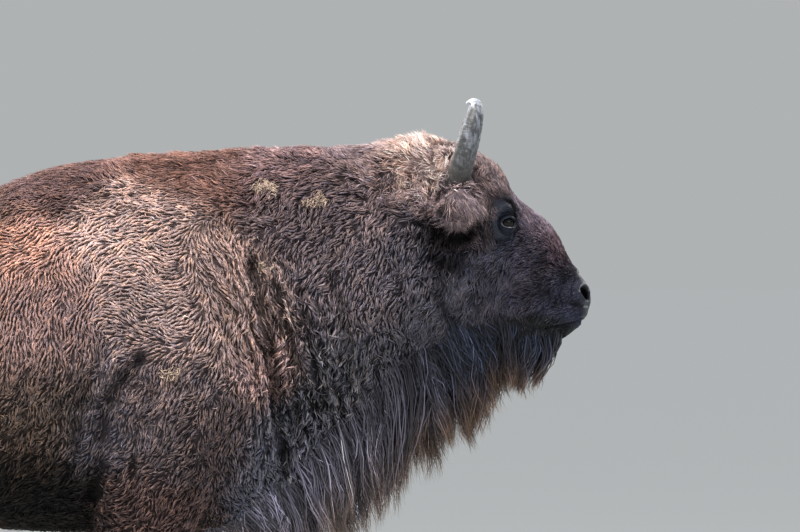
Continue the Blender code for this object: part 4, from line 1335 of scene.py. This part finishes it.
def coat_locks(roots, rng, rings, settings, kind=None):
    """Locks that arch over the skin, swing sideways and gather in ridges."""
    count = len(roots.place)
    hair, lie = hair_at(roots.place)
    if kind:
        hair = Hair(*(np.full(count, value) for value in kind))
    normal = roots.normal
    wander = (noise(roots.place, 16, 11) - 0.5) * 3.2 + (noise(roots.place, 45, 12) - 0.5) * 2.6
    lie = turned(tangent(lie, normal), normal, wander * hair.mess)
    heading = turned(lie, normal, rng.normal(0, 0.18, count) + rng.normal(0, 0.3, count) * hair.mess)
    bulk = 0.75 + 0.5 * noise(roots.place, 18, 14)
    length = hair.length * settings.length * rng.uniform(0.7, 1.3, count) * (0.85 + 0.3 * bulk)
    half_way = roots.place + heading * (0.5 * length)[:, None]
    start, end = roots.place.copy(), roots.place + heading * length[:, None]
    ridge = np.ones(count)
    ridged = np.flatnonzero(hair.crimp > RIDGED_FROM)
    if len(ridged):
        fields = (start, normal, lie, heading, length, hair.crimp, hair.wave)
        gathered = on_ridges(*(values[ridged] for values in fields))
        start[ridged], half_way[ridged], end[ridged], ridge[ridged] = gathered
    aside = unit(np.cross(normal, end - start))
    relief = fold_depth(roots.place)
    rise = hair.lift * bulk * (0.45 + 0.55 * ridge) * rng.uniform(0.8, 1.2, count)
    rise = rise * (1 - 0.7 * np.clip(relief / 0.020, 0, 1))
    phase = rng.uniform(0, 2 * math.pi, count)
    stations = np.linspace(0, 1, rings + 2)
    places = np.empty((count, rings + 2, 3))
    for k, t in enumerate(stations):
        bend = 2 * half_way - 0.5 * start - 0.5 * end
        path = start * (1 - t) ** 2 + bend * 2 * t * (1 - t) + end * t * t
        draw_in = hair.stand * (-0.30 * t * t * length)
        arch = (1 - hair.stand) * math.sin(math.pi * min(1.0, 0.16 + 0.74 * t)) + hair.stand * t**0.8
        swing = hair.swing * np.sin(phase + 4.4 * t) * min(1.0, 2.2 * t)
        height = rise * arch - 0.002 * (1 - t)
        places[:, k] = (
            path + heading * draw_in[:, None] + aside * swing[:, None] + normal * height[:, None]
        )
    profile = np.array(LOCK_PROFILES[rings])
    half_width = 0.5 * hair.width[:, None] * profile[None] * rng.uniform(0.75, 1.3, count)[:, None]
    for k in range(1, rings + 2):
        places[:, k] -= normal * (fold_depth(places[:, k]) - relief)[:, None]
    root, tip = lock_colours(roots.place, places[:, -1], hair, ridge, settings.brightness, rng)
    if not kind:
        places = bunched(places, roots.place, stations, rng, 9, hair.clump, 1.4)
    return Locks(places, aside, half_width, 1.2, 1.3, root, tip)


def bunched(places, beside, stations, rng, bunch, strength, late):
    """The locks with their tips drawn towards the nearest of a few leaders."""
    count = len(places)
    leaders = rng.choice(count, max(1, count // bunch), replace=False)
    tree = kdtree.KDTree(len(leaders))
    for index, place in enumerate(beside[leaders]):
        tree.insert(place, index)
    tree.balance()
    mine = leaders[np.array([tree.find(place)[1] for place in beside])]
    pull = np.reshape(strength, (-1, 1, 1)) * stations[None, :, None] ** late
    return places + (places[mine] - places) * pull


def chosen(locks, mask):
    """Some of the locks."""
    fields = (field if isinstance(field, float) else field[mask] for field in locks)
    return Locks(*fields)


def add_lock_piece(name, locks, finish, slot, *nodes):
    """Makes a piece of locks that rides on the body and stands for the named solids."""
    mesh = lock_mesh(name, locks)
    if len(mesh.polygons) >= MOST_TRIANGLES:
        raise RuntimeError(f"{name} has {len(mesh.polygons)} triangles")
    obj = new_object(name, mesh, finish)
    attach(obj, "root")
    if nodes:
        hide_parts(*nodes)
    print(f"{name}: {len(mesh.polygons)} triangles")
    return obj


MOST_TRIANGLES = 200000  # in a piece
COAT_SEED = 7
LEG_TOP = 0.64
LEGS_TO = 0.60  # hair in front of here and as low belongs to the breast
REAR_TO = -0.30
FACE_HAIR_FROM = 0.93
FRONT_FACE_FROM = 1.05
FEET_BARE = 0.085  # no hair on the claws
REGIONS = {  # coat pieces from the tail forward, each up to the x given
    "rump": -0.90,
    "loin": -0.60,
    "barrel": -0.25,
    "ribs": 0.03,
    "withers": 0.18,
    "shoulder": 0.33,
    "breast": 0.48,
    "neck": 0.63,
    "nape": 0.77,
    "poll": 0.93,
}
SHED_COLOUR = (0.62, 0.47, 0.38)
SHED_WOOL = {  # loose bits of last winter's wool: place (x, side, z) and reach
    "withers_bit": ((0.466, -1, 1.492), 0.015),
    "withers_bit_small": ((0.452, -1, 1.502), 0.010),
    "crest_bit": ((0.583, -1, 1.470), 0.010),
    "neck_bit": ((0.462, -1, 1.303), 0.009),
    "arm_bit": ((0.243, -1, 1.075), 0.009),
    "far_withers_bit": ((0.380, 1, 1.470), 0.014),
    "far_arm_bit": ((0.300, 1, 1.090), 0.010),
}


def evenly(distance):
    """A spacing that is the same at all points."""
    return lambda points: np.full(len(points), distance)


def hair_spacing(points):
    """How far apart the roots are at each point."""
    return hair_at(points)[0].spacing


def hairy(points):
    """1 where hair grows at all."""
    return (1 - bareness(points)) * (points[:, 2] > FEET_BARE)


def woolly(points):
    """1 where the wool gathers in ridges."""
    return (hair_at(points)[0].crimp > RIDGED_FROM) * 1.0


def near_shed_wool(points):
    """1 where a bit of last winter's wool still hangs on."""
    near = np.zeros(len(points))
    for (x, side, z), reach in SHED_WOOL.values():
        away = np.hypot(points[:, 0] - x, 1.6 * (points[:, 2] - z))
        near = np.maximum(near, (away < reach) * (points[:, 1] * side > 0))
    return near


def shed_locks(surface, rng, settings):
    """The loose pale bits of last winter's wool."""
    bits = scatter(surface, evenly(SHED.spacing), near_shed_wool, rng)
    locks = coat_locks(bits, rng, 2, settings, SHED)
    pale = np.array(SHED_COLOUR) * rng.uniform(0.6, 1.1, len(bits.place))[:, None]
    return locks._replace(root_colour=pale * 0.8, tip_colour=pale)


def build_coat(skin, settings, fullness):
    """Wool on the body, short hair on the legs and the finest hair on the face."""
    rng = np.random.default_rng(COAT_SEED)
    surface = arrays_of(skin)
    roots = scatter(surface, hair_spacing, hairy, rng, fullness)
    wisps = scatter(surface, evenly(WISP.spacing), woolly, rng, fullness)
    x, z = roots.place[:, 0], roots.place[:, 2]
    face = x > FACE_HAIR_FROM
    legs = (z < LEG_TOP) & (x < LEGS_TO)
    body = ~face & ~legs
    ridged = woolly(roots.place) > 0
    rear = x < REAR_TO
    front = x > FRONT_FACE_FROM
    wool = coat_finish("bison_wool", 0.60, 1.25, 0.90, 0.22)
    fine = coat_finish("bison_face_hair", 0.65, 1.25, 0.70, 0.25)

    def some(mask, field=roots):
        return Roots(field.place[mask], field.normal[mask])

    layers = {
        "wool": coat_locks(some(body & ridged), rng, 1, settings),
        "fuzz": coat_locks(some(body & ~ridged & ~rear), rng, 1, settings),
        "hair": coat_locks(some(body & ~ridged & rear), rng, 1, settings),
        "wisps": coat_locks(some(wisps.place[:, 2] > LEG_TOP, wisps), rng, 1, settings, WISP),
    }
    for layer, locks in layers.items():
        start = -FAR
        for region, end in REGIONS.items():
            here = (locks.places[:, 0, 0] >= start) & (locks.places[:, 0, 0] < end)
            if here.any():
                add_lock_piece(f"{layer}_{region}", chosen(locks, here), wool, "coat")
            start = end

    add_lock_piece("shed_wool", shed_locks(surface, rng, settings), wool, "coat")
    add_lock_piece("hair_legs", coat_locks(some(legs), rng, 1, settings), wool, "coat")
    add_lock_piece("hair_cheeks", coat_locks(some(face & ~front), rng, 1, settings), fine, "face_coat")
    add_lock_piece("hair_face", coat_locks(some(face & front), rng, 1, settings), fine, "face_coat")


# ---- long hair ----


class Fringe(NamedTuple):
    """Long hair that hangs from the skin below one line down to another, both given as (x, z) points."""

    roots_below: tuple
    tips: tuple
    widest_root: float  # distance from the mid-plane
    gather: float  # how much narrower it hangs than it roots
    lean: float  # how far forward it starts off
    count: int


FRINGES = {
    "beard": Fringe(
        ((0.800, 1.130), (0.880, 1.200), (0.980, 1.205), (1.060, 1.190), (1.125, 1.165), (1.158, 1.172)),
        (
            (0.850, 0.825),
            (0.870, 0.806),
            (0.915, 0.845),
            (0.966, 0.892),
            (1.028, 0.966),
            (1.092, 1.000),
            (1.128, 1.060),
        ),
        0.120,
        0.50,
        0.55,
        4200,
    ),
    "throat_mane": Fringe(
        ((0.310, 0.775), (0.450, 0.860), (0.570, 0.960), (0.690, 1.070), (0.760, 1.130), (0.880, 1.190)),
        ((0.330, 0.665), (0.478, 0.615), (0.598, 0.597), (0.703, 0.645), (0.775, 0.735), (0.865, 0.815)),
        0.160,
        0.50,
        0.80,
        4900,
    ),
}
LONG_HAIR_SEED = 19
LONG_PROFILE = (0.80, 1.0, 0.90, 0.62, 0.32)  # widths along a long lock
LONG_SPACING = 0.0035
LONG_WIDTH = 0.0036
LONG_TIP_POWER = 4.0
BUNCHES = ((100, 0.80, 1.5), (12, 0.80, 1.2))  # locks in a bunch, how far they lean together, how late
FLAT_TIPS = (1, 0.55, 0.15)  # tips this much nearer along x, y and z bunch together
KEPT_HEIGHT = 0.88  # how far a bunched lock keeps its own height
FRINGE_FLOOR = 0.62  # no long hair roots below this
MANE_COLOURS = ((0.112, 0.105, 0.140), (0.210, 0.146, 0.102))  # along a lock, from root to tip
BEARD_COLOURS = ((0.0165, 0.0215, 0.0390), (0.165, 0.101, 0.060))
TUFT_LOCKS = 750
TUFT_COLOURS = ((0.040, 0.030, 0.027), (0.055, 0.038, 0.031))
TUFT_WIDTH = 0.0060
TUFT_AXIS = (-1.187, 0.0, 0.0)
TUFT_RADIUS = 0.036


def over_line(line, values):
    """The height of a line of (x, z) points at each x."""
    xs, zs = zip(*line)
    return np.interp(values, xs, zs)


def hanging_locks(roots, tips, drop, reach, rng, colours, width):
    """Long locks from roots to tips: they leave along drop, hang down and share tips in bunches.

    Only those whose reach is near 1 get the full colour of the tip.
    """
    count = len(roots.place)
    length = np.linalg.norm(tips - roots.place, axis=1)[:, None]
    leave = unit(drop)
    middle = roots.place + leave * length * 0.36
    low = tips + np.array((0, 0, 0.34)) * length
    ts = np.linspace(0, 1, len(LONG_PROFILE) + 2)
    t = ts[None, :, None]
    paths = (
        roots.place[:, None] * (1 - t) ** 3
        + middle[:, None] * 3 * t * (1 - t) ** 2
        + low[:, None] * 3 * t * t * (1 - t)
        + tips[:, None] * t**3
    )
    for bunch, strength, late in BUNCHES:
        heights = paths[:, :, 2].copy()
        paths = bunched(paths, tips * FLAT_TIPS, ts, rng, bunch, strength, late)
        paths[:, :, 2] = KEPT_HEIGHT * heights + (1 - KEPT_HEIGHT) * paths[:, :, 2]
    aside = unit(np.cross((0.0, 0.0, 1.0), roots.normal + 1e-6))
    phase, turns = rng.uniform(0, 6.28, count), rng.uniform(5, 9, count)
    sway = np.sin(phase[:, None] + turns[:, None] * ts[None]) * ts[None] * 0.008
    swirl = 9.0 * noise(tips, 26, 33)
    ripple = np.cos(swirl[:, None] + 7 * ts[None]) * ts[None] * 0.013
    paths = paths + aside[:, None] * sway[:, :, None] + np.array((1.0, 0, 0)) * ripple[:, :, None]
    half_width = 0.5 * width * np.array(LONG_PROFILE)[None] * rng.uniform(0.6, 1.3, count)[:, None]
    tone = np.exp(rng.normal(0, 0.50, count) + 3.6 * (noise(tips, 70, 35) - 0.5))[:, None]
    gold = rng.random(count)[:, None] ** 3
    root, tip = colours
    root = root * tone
    tip = tip * tone**0.6 * (1 + gold * np.array((1.0, 0.75, 0.45)))
    tip = root + (tip - root) * smooth_step(reach, 0.45, 0.95)[:, None]
    return Locks(paths, aside, half_width, 1.0, LONG_TIP_POWER, root, tip)


def picked_roots(surface, allowed, rng, most):
    """Roots for long hair, no more than that many."""
    found = scatter(surface, evenly(LONG_SPACING), allowed, rng)
    take = rng.permutation(len(found.place))[:most]
    return Roots(found.place[take], found.normal[take])


def fringe_locks(surface, fringe, rng, fullness):
    """The locks of a fringe, rooted over the skin's underside."""
    first, last = fringe.roots_below[0][0], fringe.roots_below[-1][0]

    def allowed(points):
        ragged = 0.05 * (noise(points, 40, 36) - 0.5)
        below = points[:, 2] < over_line(fringe.roots_below, points[:, 0]) + ragged
        inside = (points[:, 0] > first) & (points[:, 0] < last)
        central = np.abs(points[:, 1]) < fringe.widest_root
        return below * inside * central * (points[:, 2] > FRINGE_FLOOR)

    roots = picked_roots(surface, allowed, rng, int(fringe.count * fullness))
    count = len(roots.place)
    x = roots.place[:, 0] + rng.normal(0, 0.008, count)
    line_first, line_last = fringe.tips[0][0], fringe.tips[-1][0]
    forward = np.clip((x - first) / (last - first), 0, 1) ** 0.75
    x = line_first + forward * (line_last - line_first)
    x = np.clip(x, line_first, line_last)
    share = 1 - 0.72 * rng.random(count) ** 1.5
    bottom = over_line(fringe.tips, x) - 0.010 * rng.random(count)
    layer = np.stack([x, 0.7 * roots.place[:, 1], np.zeros(count)], axis=1)
    ragged = 0.105 * noise(layer, 27, 31) + 0.020 * noise(layer, 95, 34) - 0.042
    z = roots.place[:, 2] + (bottom + ragged - roots.place[:, 2]) * share
    z = np.minimum(z, roots.place[:, 2] - 0.03)
    y = roots.place[:, 1] * (1 - fringe.gather * share) + rng.normal(0, 0.006, count)
    tips = np.stack([x, y, z], axis=1)
    down = tangent(np.tile((fringe.lean, 0.0, -1.0), (count, 1)), roots.normal)
    drop = down + roots.normal * 0.22
    towards_chin = smooth_step(roots.place[:, 0], 0.66, 0.90)[:, None]
    colours = [
        np.array(mane) * (1 - towards_chin) + np.array(beard) * towards_chin
        for mane, beard in zip(MANE_COLOURS, BEARD_COLOURS)
    ]
    return hanging_locks(roots, tips, drop, share, rng, colours, LONG_WIDTH)


def tuft_locks(surface, rng, fullness):
    """The hanging tuft of the tail."""

    def allowed(points):
        return (points[:, 0] < -1.10) * (points[:, 2] < 1.00) * (points[:, 2] > 0.885)

    roots = picked_roots(surface, allowed, rng, int(TUFT_LOCKS * fullness))
    count = len(roots.place)
    z = 0.600 + 0.30 * rng.random(count) ** 1.6
    spread = TUFT_RADIUS * np.sqrt(np.clip((z - 0.590) / 0.15, 0, 1))
    way = unit(roots.normal * (1, 1, 0))
    tips = np.array(TUFT_AXIS) + way * (spread * rng.uniform(0.3, 1.0, count))[:, None]
    tips = tips + z[:, None] * np.array((0, 0, 1.0))
    drop = roots.normal * 0.35 + np.array((0, 0, -1.0))
    colours = [np.array(colour) for colour in TUFT_COLOURS]
    return hanging_locks(roots, tips, drop, np.ones(count), rng, colours, TUFT_WIDTH)


# ---- stage ----


def look_at(obj, target):
    """Turns a lamp or camera towards a place."""
    direction = Vector(target) - obj.location
    obj.rotation_euler = direction.to_track_quat("-Z", "Y").to_euler()


VIEW_CENTRE = (0.779, 0.0, 1.313)
FLOOR_RADIUS = 60.0
SKY_LIGHT = ((0.93, 0.96, 1.0, 1), 0.36)  # colour and strength of the light from all round
BACKDROP = (0.43, 0.445, 0.45, 1)  # what the camera sees behind the animal


class Lamp(NamedTuple):
    """A round lamp."""

    place: tuple
    target: tuple
    size: float
    power: float
    colour: tuple


LAMPS = {
    "sky_lamp": Lamp((-1.5, -2.5, 6.0), (0.3, 0, 1.0), 3.4, 640, (1.0, 0.97, 0.92)),
    "rim_lamp": Lamp((-3.5, 4.0, 4.5), (0.4, 0, 1.4), 3.0, 260, (1.0, 0.98, 0.95)),
    "fill_lamp": Lamp((4.5, -6.5, 2.6), (0.7, 0, 1.1), 1.6, 90, (0.92, 0.95, 1.0)),
    "rear_lamp": Lamp((-6.0, 3.5, 3.0), (-0.4, 0, 0.9), 4.0, 110, (0.95, 0.97, 1.0)),
    "front_rim_lamp": Lamp((5.0, 4.5, 3.6), (1.1, 0, 1.3), 2.5, 170, (1.0, 1.0, 0.98)),
}


def add_lamp(name, lamp, strength):
    """Hangs up a lamp."""
    light = bpy.data.lights.new(name, "AREA")
    light.shape = "DISK"
    light.size = lamp.size
    light.energy = lamp.power * strength
    light.color = lamp.colour
    obj = bpy.data.objects.new(name, light)
    bpy.context.scene.collection.objects.link(obj)
    obj.location = lamp.place
    look_at(obj, lamp.target)


def build_floor():
    """A wide pale floor."""
    bm = bmesh.new()
    bmesh.ops.create_circle(bm, cap_ends=True, segments=96, radius=FLOOR_RADIUS)
    f = Finish("floor_paint", 0.85, Emission_Color=(0.55, 0.57, 0.575, 1), Emission_Strength=0.52)
    grain = f.noise(30.0, 2.0)
    f.feed("Base Color", f.mix(grain, (0.36, 0.37, 0.37, 1), (0.39, 0.40, 0.40, 1)))
    floor = new_object("floor", mesh_from(bm, "floor"), f.material)


def build_world(settings):
    """Light from all round, and a plain grey behind the animal."""
    colour, strength = SKY_LIGHT
    world = bpy.data.worlds.new("studio")
    world.use_nodes = True
    tree = world.node_tree
    background = tree.nodes["Background"]
    background.inputs["Color"].default_value = colour
    background.inputs["Strength"].default_value = strength * settings.light
    seen = tree.nodes.new("ShaderNodeBackground")
    seen.inputs["Color"].default_value = BACKDROP
    rays = tree.nodes.new("ShaderNodeLightPath")
    pick = tree.nodes.new("ShaderNodeMixShader")
    tree.links.new(rays.outputs["Is Camera Ray"], pick.inputs[0])
    tree.links.new(background.outputs[0], pick.inputs[1])
    tree.links.new(seen.outputs[0], pick.inputs[2])
    tree.links.new(pick.outputs[0], tree.nodes["World Output"].inputs["Surface"])
    bpy.context.scene.world = world


def build_camera(settings):
    """A far camera to the animal's right, level with its eye."""
    scene = bpy.context.scene
    camera = bpy.data.cameras.new("camera")
    camera.sensor_width = 36.0
    camera.lens = camera.sensor_width * settings.distance / settings.view_width
    camera.clip_end = 200.0
    obj = bpy.data.objects.new("camera", camera)
    scene.collection.objects.link(obj)
    back = Vector((0, -math.cos(settings.elevation), math.sin(settings.elevation))) * settings.distance
    obj.location = Vector(VIEW_CENTRE) + back
    look_at(obj, VIEW_CENTRE)
    scene.camera = obj
    scene.view_settings.view_transform = "Standard"


def build_stage(settings):
    """Floor, world, lamps and camera."""
    build_floor()
    build_world(settings)
    for name, lamp in LAMPS.items():
        add_lamp(name, lamp, settings.light)
    build_camera(settings)


# ---- eyes, horns, hooves ----


def build_eye(side, name, finish):
    """An eyeball with its cornea standing slightly proud."""
    gaze = Vector((EYE_GAZE[0], side * EYE_GAZE[1], EYE_GAZE[2])).normalized()
    centre = Vector((EYE_CENTRE[0], side * EYE_CENTRE[1], EYE_CENTRE[2]))
    cornea_radius, proud = CORNEA
    bm = bmesh.new()
    bmesh.ops.create_uvsphere(bm, u_segments=48, v_segments=32, radius=EYE_RADIUS)
    for vert in bm.verts:
        from_axis = math.hypot(vert.co.x, vert.co.y)
        if vert.co.z > 0 and from_axis < cornea_radius:
            vert.co.z += proud * (1 - (from_axis / cornea_radius) ** 2)
    place = Matrix.Translation(centre) @ gaze.to_track_quat("Z", "Y").to_matrix().to_4x4()
    bmesh.ops.transform(bm, matrix=place, verts=bm.verts)
    mesh = mesh_from(bm, name)
    mesh.shade_smooth()
    return new_object(name, mesh, finish)


def on_curve(rows, t):
    """The values at t, in whole steps along rows, on a Catmull-Rom curve."""
    i = min(int(t), len(rows) - 2)
    t = t - i
    picked = [rows[max(0, min(len(rows) - 1, i + k))] for k in (-1, 0, 1, 2)]
    a, b, c, d = (np.array([*place, radius]) for place, radius in picked)
    squared = (2 * a - 5 * b + 4 * c - d) * t**2
    cubed = (3 * b - a - 3 * c + d) * t**3
    return 0.5 * (2 * b + (c - a) * t + squared + cubed)


HORN_STEPS = 90
HORN_SIDES = 40
HORN_TIP = 0.0004  # least radius
RINGED_TO = 0.62  # the growth rings fade out by this share of the horn


def order_of(vert, ring):
    """Which place of the last ring a freshly extruded vertex belongs to."""
    distances = [(vert.co - other.co).length for other in ring]
    return distances.index(min(distances))


def next_ring(bm, ring):
    """Extrudes the last ring of vertices, and gives the new ones in the same order."""
    last = set(ring)
    edges = [edge for edge in bm.edges if edge.verts[0] in last and edge.verts[1] in last]
    grown = bmesh.ops.extrude_edge_only(bm, edges=edges)
    fresh = [item for item in grown["geom"] if isinstance(item, bmesh.types.BMVert)]
    return sorted(fresh, key=lambda vert: order_of(vert, ring))


def build_horn(side, name, finish, settings):
    """A horn drawn along its line, with growth rings that fade towards the tip."""
    stretches = len(HORN_LINE) - 1
    stations = [on_curve(HORN_LINE, stretches * k / HORN_STEPS) for k in range(HORN_STEPS + 1)]
    stations = [np.array([x, side * y, z, r]) for x, y, z, r in stations]
    bm = bmesh.new()
    made = bmesh.ops.create_circle(bm, cap_ends=True, segments=HORN_SIDES, radius=1.0)
    ring = made["verts"]
    up = Vector((0, 0, 1))
    along_values = []
    unit_ring = [vert.co.copy() for vert in ring]
    for k, (x, y, z, radius) in enumerate(stations):
        before, after = stations[max(k - 1, 0)], stations[min(k + 1, HORN_STEPS)]
        forward = Vector(after[:3] - before[:3]).normalized()
        up = (up - forward * up.dot(forward)).normalized()
        turn = Matrix((forward.cross(up), up, forward)).transposed()
        share = k / HORN_STEPS
        if k:
            ring = next_ring(bm, ring)
        wave = math.sin(share * 120 + 0.8 * math.sin(share * 33))
        relief = settings.ring_height * max(0.0, 1 - share / RINGED_TO) * wave
        for vert, spot in zip(ring, unit_ring):
            angle = math.atan2(spot.y, spot.x)
            flute = 0.012 * math.sin(3 * angle + 1.3) + 0.008 * math.sin(7 * angle + 5 * share)
            size = max(radius * (1 + flute) + relief, HORN_TIP)
            vert.co = Vector((x, y, z)) + turn @ (Vector((spot.x, spot.y, 0)) * size)
        along_values += [share] * len(ring)
    bmesh.ops.contextual_create(bm, geom=[edge for edge in bm.edges if edge.is_boundary])
    bmesh.ops.recalc_face_normals(bm, faces=bm.faces)
    mesh = mesh_from(bm, name)
    mesh.shade_smooth()
    add_values(mesh, "along", along_values)
    return new_object(name, mesh, finish)


def build_hoof(name, finish):
    """A claw from its solid, with its edges worn round."""
    bm = merged_solid(name)
    bmesh.ops.dissolve_limit(bm, angle_limit=math.radians(2), verts=bm.verts, edges=bm.edges)
    mesh = mesh_from(bm, name + "_horn")
    mesh.shade_smooth()
    obj = new_object(name + "_horn", mesh, finish)
    bevel = obj.modifiers.new("worn", "BEVEL")
    bevel.width = 0.0035
    bevel.segments = 3
    bevel.limit_method = "ANGLE"
    bevel.angle_limit = math.radians(35)
    return obj


# ---- operators ----


class BISON_OT_skin(bpy.types.Operator):
    """Builds the hide over all flesh"""

    bl_idname = "bison.skin"
    bl_label = "Skin"

    def execute(self, context):
        mesh = build_skin(context.scene.bison_coat)
        obj = new_object("bison_skin", mesh, skin_finish())
        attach(obj, "root")
        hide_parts(*FLESH)
        return {"FINISHED"}


class BISON_OT_eyes(bpy.types.Operator):
    """Builds both eyeballs"""

    bl_idname = "bison.eyes"
    bl_label = "Eyes"

    def execute(self, context):
        finish = eye_finish(context.scene.bison_eye)
        for side, side_name in ((1, "left"), (-1, "right")):
            obj = build_eye(side, side_name + "_eyeball", finish)
            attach(obj, "root")
            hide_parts(side_name + "_eye")
        return {"FINISHED"}


class BISON_OT_horns(bpy.types.Operator):
    """Builds both horns"""

    bl_idname = "bison.horns"
    bl_label = "Horns"

    def execute(self, context):
        settings = context.scene.bison_horn
        finish = horn_finish(settings)
        for side, side_name in ((1, "left"), (-1, "right")):
            obj = build_horn(side, side_name + "_horn_sheath", finish, settings)
            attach(obj, "root")
            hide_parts(side_name + "_horn")
        return {"FINISHED"}


class BISON_OT_hooves(bpy.types.Operator):
    """Builds claws and dewclaws"""

    bl_idname = "bison.hooves"
    bl_label = "Hooves"

    def execute(self, context):
        finish = hoof_finish()
        for leg in LEGS:
            for kind in ("claw", "dewclaw"):
                for place in ("inner", "outer"):
                    node = f"{leg}_{kind}_{place}"
                    obj = build_hoof(node, finish)
                    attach(obj, "root")
                    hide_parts(node)
        return {"FINISHED"}


class BISON_OT_coat(bpy.types.Operator):
    """Grows the wool and the short hair"""

    bl_idname = "bison.coat"
    bl_label = "Coat"

    def execute(self, context):
        settings = context.scene.bison_coat
        fullness = settings.fullness * 1.0
        build_coat(bpy.data.objects["bison_skin"].data, settings, fullness)
        return {"FINISHED"}


class BISON_OT_long_hair(bpy.types.Operator):
    """Grows the beard, the throat mane and the tuft of the tail"""

    bl_idname = "bison.long_hair"
    bl_label = "Long hair"

    def execute(self, context):
        settings = context.scene.bison_coat
        fullness = settings.fullness * 1.0
        surface = arrays_of(bpy.data.objects["bison_skin"].data)
        rng = np.random.default_rng(LONG_HAIR_SEED)
        finish = coat_finish("bison_long_hair", 0.75, 1.15, 0.42, 0.45)
        for node, fringe in FRINGES.items():
            locks = fringe_locks(surface, fringe, rng, fullness)
            add_lock_piece(node + "_hair", locks, finish, "mane", node)
        add_lock_piece("tail_tuft_hair", tuft_locks(surface, rng, fullness), finish, "mane", "tail_tuft")
        return {"FINISHED"}


class BISON_OT_stage(bpy.types.Operator):
    """Sets floor, light and camera"""

    bl_idname = "bison.stage"
    bl_label = "Stage"

    def execute(self, context):
        build_stage(context.scene.bison_stage)
        return {"FINISHED"}


class BISON_PT_panel(bpy.types.Panel):
    """Shows the bison's settings and the buttons that build it"""

    bl_idname = "BISON_PT_panel"
    bl_label = "European Bison"
    bl_space_type = "VIEW_3D"
    bl_region_type = "UI"
    bl_category = "Bison"

    def draw(self, context):
        scene = context.scene
        for settings, operators in PANEL_ROWS:
            box = self.layout.box()
            group = getattr(scene, settings)
            for name in group.__class__.__annotations__:
                box.prop(group, name)
            for operator in operators:
                box.operator(operator.bl_idname)


PANEL_ROWS = (
    ("bison_coat", (BISON_OT_skin, BISON_OT_coat, BISON_OT_long_hair)),
    ("bison_eye", (BISON_OT_eyes,)),
    ("bison_horn", (BISON_OT_horns, BISON_OT_hooves)),
    ("bison_stage", (BISON_OT_stage,)),
)
SETTINGS = {
    "bison_coat": BisonCoatSettings,
    "bison_eye": BisonEyeSettings,
    "bison_horn": BisonHornSettings,
    "bison_stage": BisonStageSettings,
}
CLASSES = (
    *SETTINGS.values(),
    *(operator for _, operators in PANEL_ROWS for operator in operators),
    BISON_PT_panel,
)


def register():
    for cls in CLASSES:
        bpy.utils.register_class(cls)
    for name, cls in SETTINGS.items():
        setattr(bpy.types.Scene, name, bpy.props.PointerProperty(type=cls))


def unregister():
    for name in SETTINGS:
        delattr(bpy.types.Scene, name)
    for cls in reversed(CLASSES):
        bpy.utils.unregister_class(cls)


def main():
    register()
    bpy.ops.bison.skin()
    bpy.ops.bison.eyes()
    bpy.ops.bison.horns()
    bpy.ops.bison.hooves()
    bpy.ops.bison.coat()
    bpy.ops.bison.long_hair()
    bpy.ops.bison.stage()


if __name__ == "__main__":
    main()
